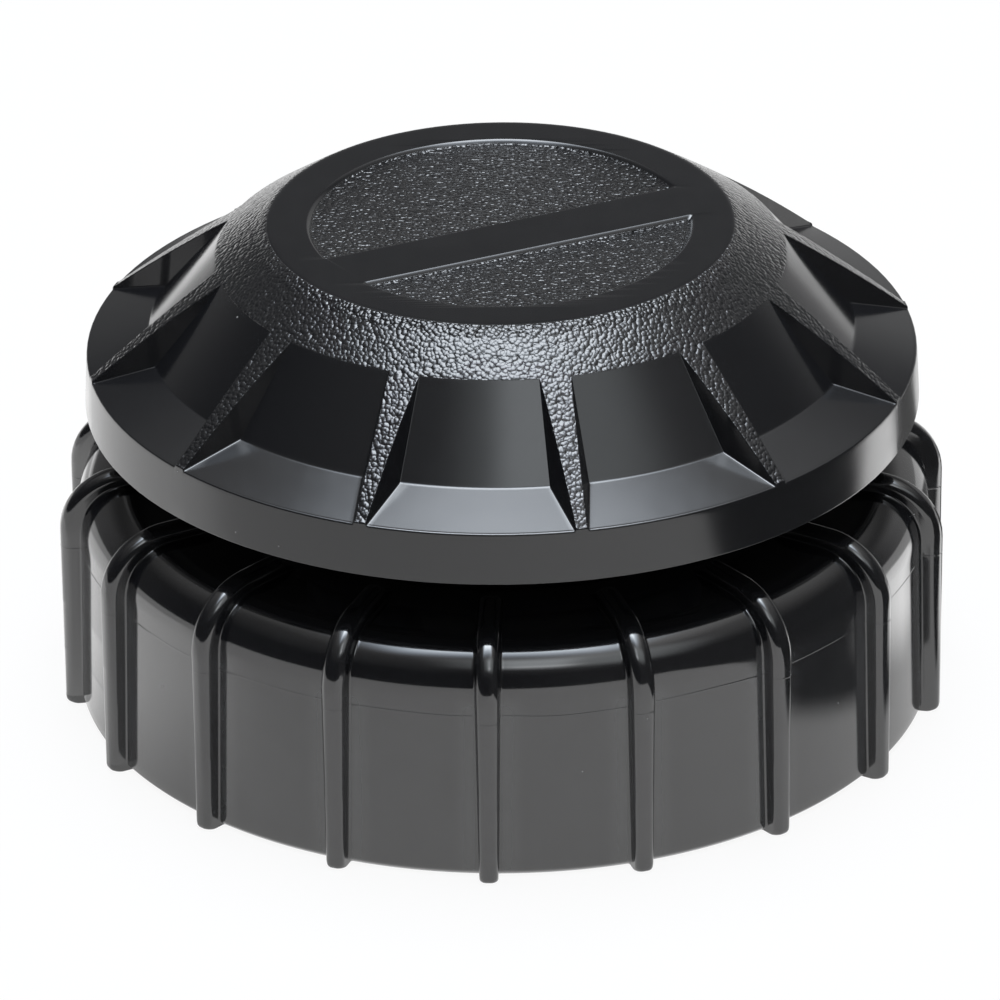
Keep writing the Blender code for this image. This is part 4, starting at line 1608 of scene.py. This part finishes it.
@dataclass
class FloatGroup:
    """Float disc with its seal, retainer and stem clip."""

    radius: float = 11.0 * MM
    bottom: float = 8.4 * MM
    top: float = 10.4 * MM
    rim_width: float = 1.5 * MM
    recess_depth: float = 0.8 * MM
    hub_radius: float = 3.0 * MM
    hub_bottom: float = 7.2 * MM
    hub_top: float = 12.3 * MM
    stem_radius: float = 1.6 * MM
    stem_top: float = 24.75 * MM
    tip_chamfer: float = 0.4 * MM
    groove_radius: float = 1.1 * MM
    groove_bottom: float = 22.05 * MM
    groove_top: float = 23.35 * MM
    seal_bore: float = 3.3 * MM
    seal_bottom: float = 10.7 * MM
    seal_top: float = 12.3 * MM
    retainer_bore: float = 1.9 * MM
    retainer_radius: float = 5.5 * MM
    retainer_bottom: float = 12.6 * MM
    retainer_top: float = 13.6 * MM
    clip_bottom: float = 22.3 * MM
    clip_top: float = 23.1 * MM
    clip_inner: float = 1.35 * MM
    clip_outer: float = 3.25 * MM
    clip_opening: float = math.radians(80.0)

    def float_mesh(self) -> bpy.types.Mesh:
        """Float disc with hub and stem."""
        soft = 0.18 * MM
        crisp = 0.08 * MM
        recess = self.bottom + self.recess_depth
        corners = [
            (0.0, self.hub_bottom, 0.0),
            (self.hub_radius, self.hub_bottom, soft),
            (self.hub_radius, recess, soft),
            (self.radius - self.rim_width, recess, soft),
            (self.radius - self.rim_width, self.bottom, soft),
            (self.radius, self.bottom, soft),
            (self.radius, self.top, soft),
            (self.hub_radius, self.top, soft),
            (self.hub_radius, self.hub_top, crisp),
            (self.stem_radius, self.hub_top, soft),
            (self.stem_radius, self.groove_bottom, crisp),
            (self.groove_radius, self.groove_bottom, crisp),
            (self.groove_radius, self.groove_top, crisp),
            (self.stem_radius, self.groove_top, crisp),
            (self.stem_radius, self.stem_top - self.tip_chamfer, crisp),
            (self.stem_radius - self.tip_chamfer, self.stem_top, crisp),
            (0.0, self.stem_top, 0.0),
        ]
        skin = Skin()
        skin.turned(eased(corners, 3, closed=False), FLOAT_SIDES)
        return skin.mesh("float_moulding")

    def washer(self, inner: float, outer: float, low: float, high: float) -> bpy.types.Mesh:
        """Flat ring with eased edges.

        Args:
            inner: Bore radius.
            outer: Outer radius.
            low: Height of its underside.
            high: Height of its top.

        Returns:
            The ring's mesh.
        """
        ease = 0.15 * MM
        corners = [(inner, low, ease), (outer, low, ease), (outer, high, ease), (inner, high, ease)]
        skin = Skin()
        skin.turned(eased(corners, 3), FLOAT_SIDES)
        return skin.mesh("washer")

    def clip_mesh(self) -> bpy.types.Mesh:
        """Open clip with rounded ends and eased edges."""
        half = self.clip_opening / 2
        sweep = math.tau - self.clip_opening
        corners: list[Corner] = []
        for radius, direction in ((self.clip_outer, 1.0), (self.clip_inner, -1.0)):
            for step in range(37):
                share = step / 36 if direction > 0 else 1.0 - step / 36
                angle = half + sweep * share
                reach = 0.45 * MM if step in (0, 36) else 0.0
                corners.append((radius * math.cos(angle), radius * math.sin(angle), reach))
        outline = [Vector((x, y, 0.0)) for x, y in eased(corners, 4)]
        middle = (self.clip_inner + self.clip_outer) / 2
        levels = ((0.10, 0.0), (0.03, 0.03), (0.0, 0.10))
        high = self.clip_top - self.clip_bottom
        steps = [(inset, self.clip_bottom + rise * MM) for inset, rise in levels]
        steps += [(i, self.clip_bottom + high - r * MM) for i, r in reversed(levels)]
        rings = []
        for inset, height in steps:
            row = []
            for point in outline:
                pull = point.normalized() * middle - point
                shift = pull.normalized() * inset * MM if pull.length > 1e-6 else Vector()
                row.append(Vector((point.x + shift.x, point.y + shift.y, height)))
            rings.append(row)
        skin = Skin()
        skin.loft(rings)
        return skin.mesh("stem_clip")

    def build(self) -> list[bpy.types.Object]:
        """Make the float and what rides on its stem.

        Returns:
            The dressed pieces.
        """
        disc = shown("float_moulding", self.float_mesh(), FLOAT_FINISH)
        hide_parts("float")
        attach(disc, Body.FLOAT.value)
        rubber = self.washer(self.seal_bore, self.radius, self.seal_bottom, self.seal_top)
        seal = shown("float_seal_disc", rubber, RUBBER_FINISH)
        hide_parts("float_seal")
        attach(seal, Body.FLOAT.value)
        sizes = (self.retainer_bore, self.retainer_radius, self.retainer_bottom, self.retainer_top)
        retainer = shown("retainer_washer", self.washer(*sizes), FLOAT_FINISH)
        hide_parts("seal_retainer")
        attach(retainer, Body.FLOAT.value)
        clip = shown("spring_clip", self.clip_mesh(), STEEL_FINISH)
        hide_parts("stem_clip")
        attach(clip, Body.FLOAT.value)
        return [disc, seal, retainer, clip]


def hung(azimuth: float, elevation: float, distance: float) -> Place:
    """Place of a lamp on a dome round the part.

    Args:
        azimuth: Degrees from the camera's side towards its right.
        elevation: Degrees above the floor.
        distance: Distance from the part.

    Returns:
        The place.
    """
    turn, lift = math.radians(azimuth), math.radians(elevation)
    level = distance * math.cos(lift)
    height = distance * math.sin(lift) + 20.0 * MM
    return level * math.sin(turn), -level * math.cos(turn), height


def flat(x: float, y: float) -> Place:
    """Place of a lamp lying on the floor, from millimetres."""
    return x * MM, y * MM, 0.6 * MM


@dataclass(frozen=True)
class Lamp:
    """A rectangular soft lamp that the camera doesn't see."""

    name: str
    place: Place
    width: float
    depth: float
    radiance: float
    color: Color = (1.0, 1.0, 1.0)
    fade: float = 0.25
    lies_flat: bool = False
    turn: float = 0.0

    def soften(self, data: bpy.types.Light) -> None:
        """Let the lamp fade out towards its edges.

        Args:
            data: The lamp's data.
        """
        graph = Graph.fresh(data)
        spot = graph.node("ShaderNodeNewGeometry").outputs["Parametric"]
        across, along, _ = graph.parts(spot)
        inside = (0.5 - abs(across - 0.5)).rise(0.0, self.fade)
        inside = inside * (0.5 - abs(along - 0.5)).rise(0.0, self.fade)
        glow = graph.node("ShaderNodeEmission", {}, {"Strength": inside})
        graph.node("ShaderNodeOutputLight", {}, {"Surface": glow.outputs[0]})

    def build(self) -> None:
        """Set up the lamp, facing the part or lying flat."""
        data = bpy.data.lights.new(self.name, "AREA")
        data.shape = "RECTANGLE"
        data.size = self.width
        data.size_y = self.depth
        data.energy = self.radiance * math.pi * self.width * self.depth
        data.color = self.color
        self.soften(data)
        made = placed(self.name, data)
        back = Vector((0.0, 0.0, -1.0)) if self.lies_flat else Vector(self.place).normalized()
        across = Matrix.Rotation(math.radians(self.turn), 3, "Z") @ Vector((1.0, 0.0, 0.0))
        across = (across - back * across.dot(back)).normalized()
        axes = Matrix((across, back.cross(across), back)).transposed().to_4x4()
        made.matrix_world = Matrix.Translation(self.place) @ axes
        made.visible_camera = False


@dataclass
class Studio:
    """Camera, white floor, soft lamps and the world round them."""

    camera_distance: float = 0.6611
    camera_elevation: float = math.radians(28.33)
    lens: float = 336.3
    aim_lift: float = 0.5 * MM
    pitch_offset: float = math.atan(161.0 / FOCAL_PIXELS)
    yaw_offset: float = math.atan(3.6 / FOCAL_PIXELS)
    roll: float = math.radians(0.572)
    floor_radius: float = 3.0
    patch_blur: float = 5.0 * MM
    patch_start: float = 36.0 * MM
    front_slope: float = 1.11
    front_offset: float = 13.0 * MM
    rear_slope: float = 0.37
    rear_offset: float = 22.3 * MM
    panel_slope: float = 1.1
    panel_offset: float = 40.4 * MM
    sweep_slope: float = 0.9
    lamps: tuple[Lamp, ...] = (
        Lamp("top_edge", hung(180.0, 86.0, 0.61), 0.64, 0.72, 1.5, (0.72, 0.84, 1.0), 0.2),
        Lamp("top_box", hung(178.0, 84.5, 0.6), 0.50, 0.58, 2.6, (0.82, 0.90, 1.0), 0.2),
        Lamp("top_core", hung(180.0, 83.0, 0.59), 0.35, 0.46, 5.8, (0.92, 0.96, 1.0)),
        Lamp("front_box", hung(10.0, 51.0, 0.6), 0.24, 0.29, 1.1, (0.90, 0.95, 1.0), 0.35),
        Lamp("front_wide", hung(24.0, 51.0, 0.61), 0.80, 0.36, 0.8, (0.88, 0.95, 0.98), 0.35),
        Lamp("front_strip", hung(12.0, 45.0, 0.59), 0.22, 0.06, 0.9, fade=0.3),
        Lamp("left_panel", flat(-70.0, 14.0), 0.100, 0.100, 0.55, fade=0.22, lies_flat=True),
        Lamp("left_core", flat(-65.0, 20.0), 0.085, 0.070, 0.9, fade=0.25, lies_flat=True),
        Lamp("rear_left", flat(-92.0, 168.0), 0.160, 0.150, 0.75, fade=0.25, lies_flat=True),
        Lamp("rear_panel", flat(59.0, 11.0), 0.060, 0.023, 1.7, (1.0, 1.0, 1.0), 0.2, True, 35.0),
    )

    def camera(self) -> None:
        """Set the camera at the photograph's viewing angle."""
        data = bpy.data.cameras.new("camera")
        data.lens = self.lens
        data.sensor_width = 36.0
        data.clip_start = 0.01
        data.clip_end = 20.0
        made = placed("camera", data)
        rise = self.camera_elevation
        back = Vector((0.0, -math.cos(rise), math.sin(rise))) * self.camera_distance
        tilt = math.pi / 2 - (rise - self.pitch_offset)
        turn = Matrix.Rotation(self.yaw_offset, 4, "Z") @ Matrix.Rotation(tilt, 4, "X")
        place = Matrix.Translation(back + Vector((0.0, 0.0, self.aim_lift)))
        made.matrix_world = place @ turn @ Matrix.Rotation(-self.roll, 4, "Z")
        bpy.context.scene.camera = made

    def floor_material(self) -> bpy.types.Material:
        """White floor that keeps a soft shadow; to reflections it shows painted dark patches and a
        side-to-side ramp instead of plain white.
        """
        made = bpy.data.materials.new("studio_floor")
        graph = Graph.fresh(made)
        kinds = ("Is Camera Ray", "Is Glossy Ray", "Is Transmission Ray")
        camera, glossy, through = graph.rays(*kinds)
        x, y, _ = graph.axes()
        # Painted reflections: dark patches and a side-to-side ramp that only glossy rays see; the
        # camera sees white
        half = self.patch_blur / 2
        past_front = (y + x * self.front_slope - self.front_offset).rise(-half, half)
        before_rear = (y - x * self.rear_slope + self.rear_offset).rise(half, -half)
        past_panel = (y - x * self.panel_slope + self.panel_offset).rise(-half, half)
        before_sweep = (y - x * self.sweep_slope).rise(half, -half)
        outside = x.rise(self.patch_start - half, self.patch_start + half)
        reflected_dark_patches = (past_front * before_rear + past_panel * before_sweep * 0.9) * outside
        reflected_ramp = x.rise(-60.0 * MM, 50.0 * MM) * 0.14 + 0.86
        mirrored = reflected_ramp * (1.0 - reflected_dark_patches * 0.94)
        lit = graph.node("ShaderNodeBsdfDiffuse", {}, {"Color": (0.95, 0.95, 0.95, 1.0)})
        strength = 1.0 - glossy * (1.0 - mirrored)
        white = graph.node("ShaderNodeEmission", {}, {"Strength": strength})
        share = camera * 0.92 + glossy + through
        sockets = {0: share, 1: lit.outputs[0], 2: white.outputs[0]}
        mixed = graph.node("ShaderNodeMixShader", {}, sockets)
        graph.node("ShaderNodeOutputMaterial", {}, {"Surface": mixed.outputs[0]})
        return made

    def floor(self) -> None:
        """Lay the floor."""
        skin = Skin()
        skin.cap(skin.row(ring(self.floor_radius, 0.0, full_turn(FLOOR_SIDES))))
        mesh = skin.mesh("studio_floor")
        if mesh.polygons[0].normal.z < 0.0:
            mesh.flip_normals()
        mesh.materials.append(self.floor_material())
        made = placed("studio_floor", mesh)

    def world(self) -> None:
        """White world to the camera, soft grey light to the part."""
        made = bpy.data.worlds.new("studio_world")
        bpy.context.scene.world = made
        graph = Graph.fresh(made)
        camera, glossy = graph.rays("Is Camera Ray", "Is Glossy Ray")
        direction = graph.node("ShaderNodeTexCoord").outputs["Generated"]
        across, behind, above = graph.parts(direction)
        ceiling = above.rise(0.45, 0.85) * 0.17 + above.rise(0.78, 0.95) * 0.35 + 0.035
        sides = across.rise(-0.05, 0.45) * 1.4 + behind.rise(0.0, 0.5) * 1.5 + 1.0
        sweep = above.rise(0.5, 0.3) * behind.rise(0.35, 0.75)
        room = ceiling * sides + sweep * (across.rise(-0.3, 0.35) * 0.28 + 0.14)
        strength = camera + (1.0 - camera) * (1.0 - glossy) * 0.12 + glossy * room
        back = graph.node("ShaderNodeBackground", {}, {"Strength": strength})
        graph.node("ShaderNodeOutputWorld", {}, {"Surface": back.outputs[0]})

    def build(self) -> None:
        """Set up the whole studio."""
        scene = bpy.context.scene
        scene.view_settings.view_transform = "Standard"
        self.camera()
        self.floor()
        self.world()
        for lamp in self.lamps:
            lamp.build()
            LOG.info("lamp %s", lamp.name)


def main() -> None:
    """Build every sub-assembly in order and report its pieces."""
    logging.basicConfig(level=logging.INFO, format="%(name)s: %(message)s")
    shop = Workshop()
    pieces = [
        ScrewCollar().build(shop),
        Hood().build(shop),
        Bonnet().build(frame["nodes"]),
        HoodScrews().build(shop),
        BodySeal().build(),
        *FloatGroup().build(),
    ]
    Studio().build()
    for piece in pieces:
        piece.data.calc_loop_triangles()
        LOG.info("piece %s: %d triangles", piece.name, len(piece.data.loop_triangles))


if __name__ == "__main__":
    main()
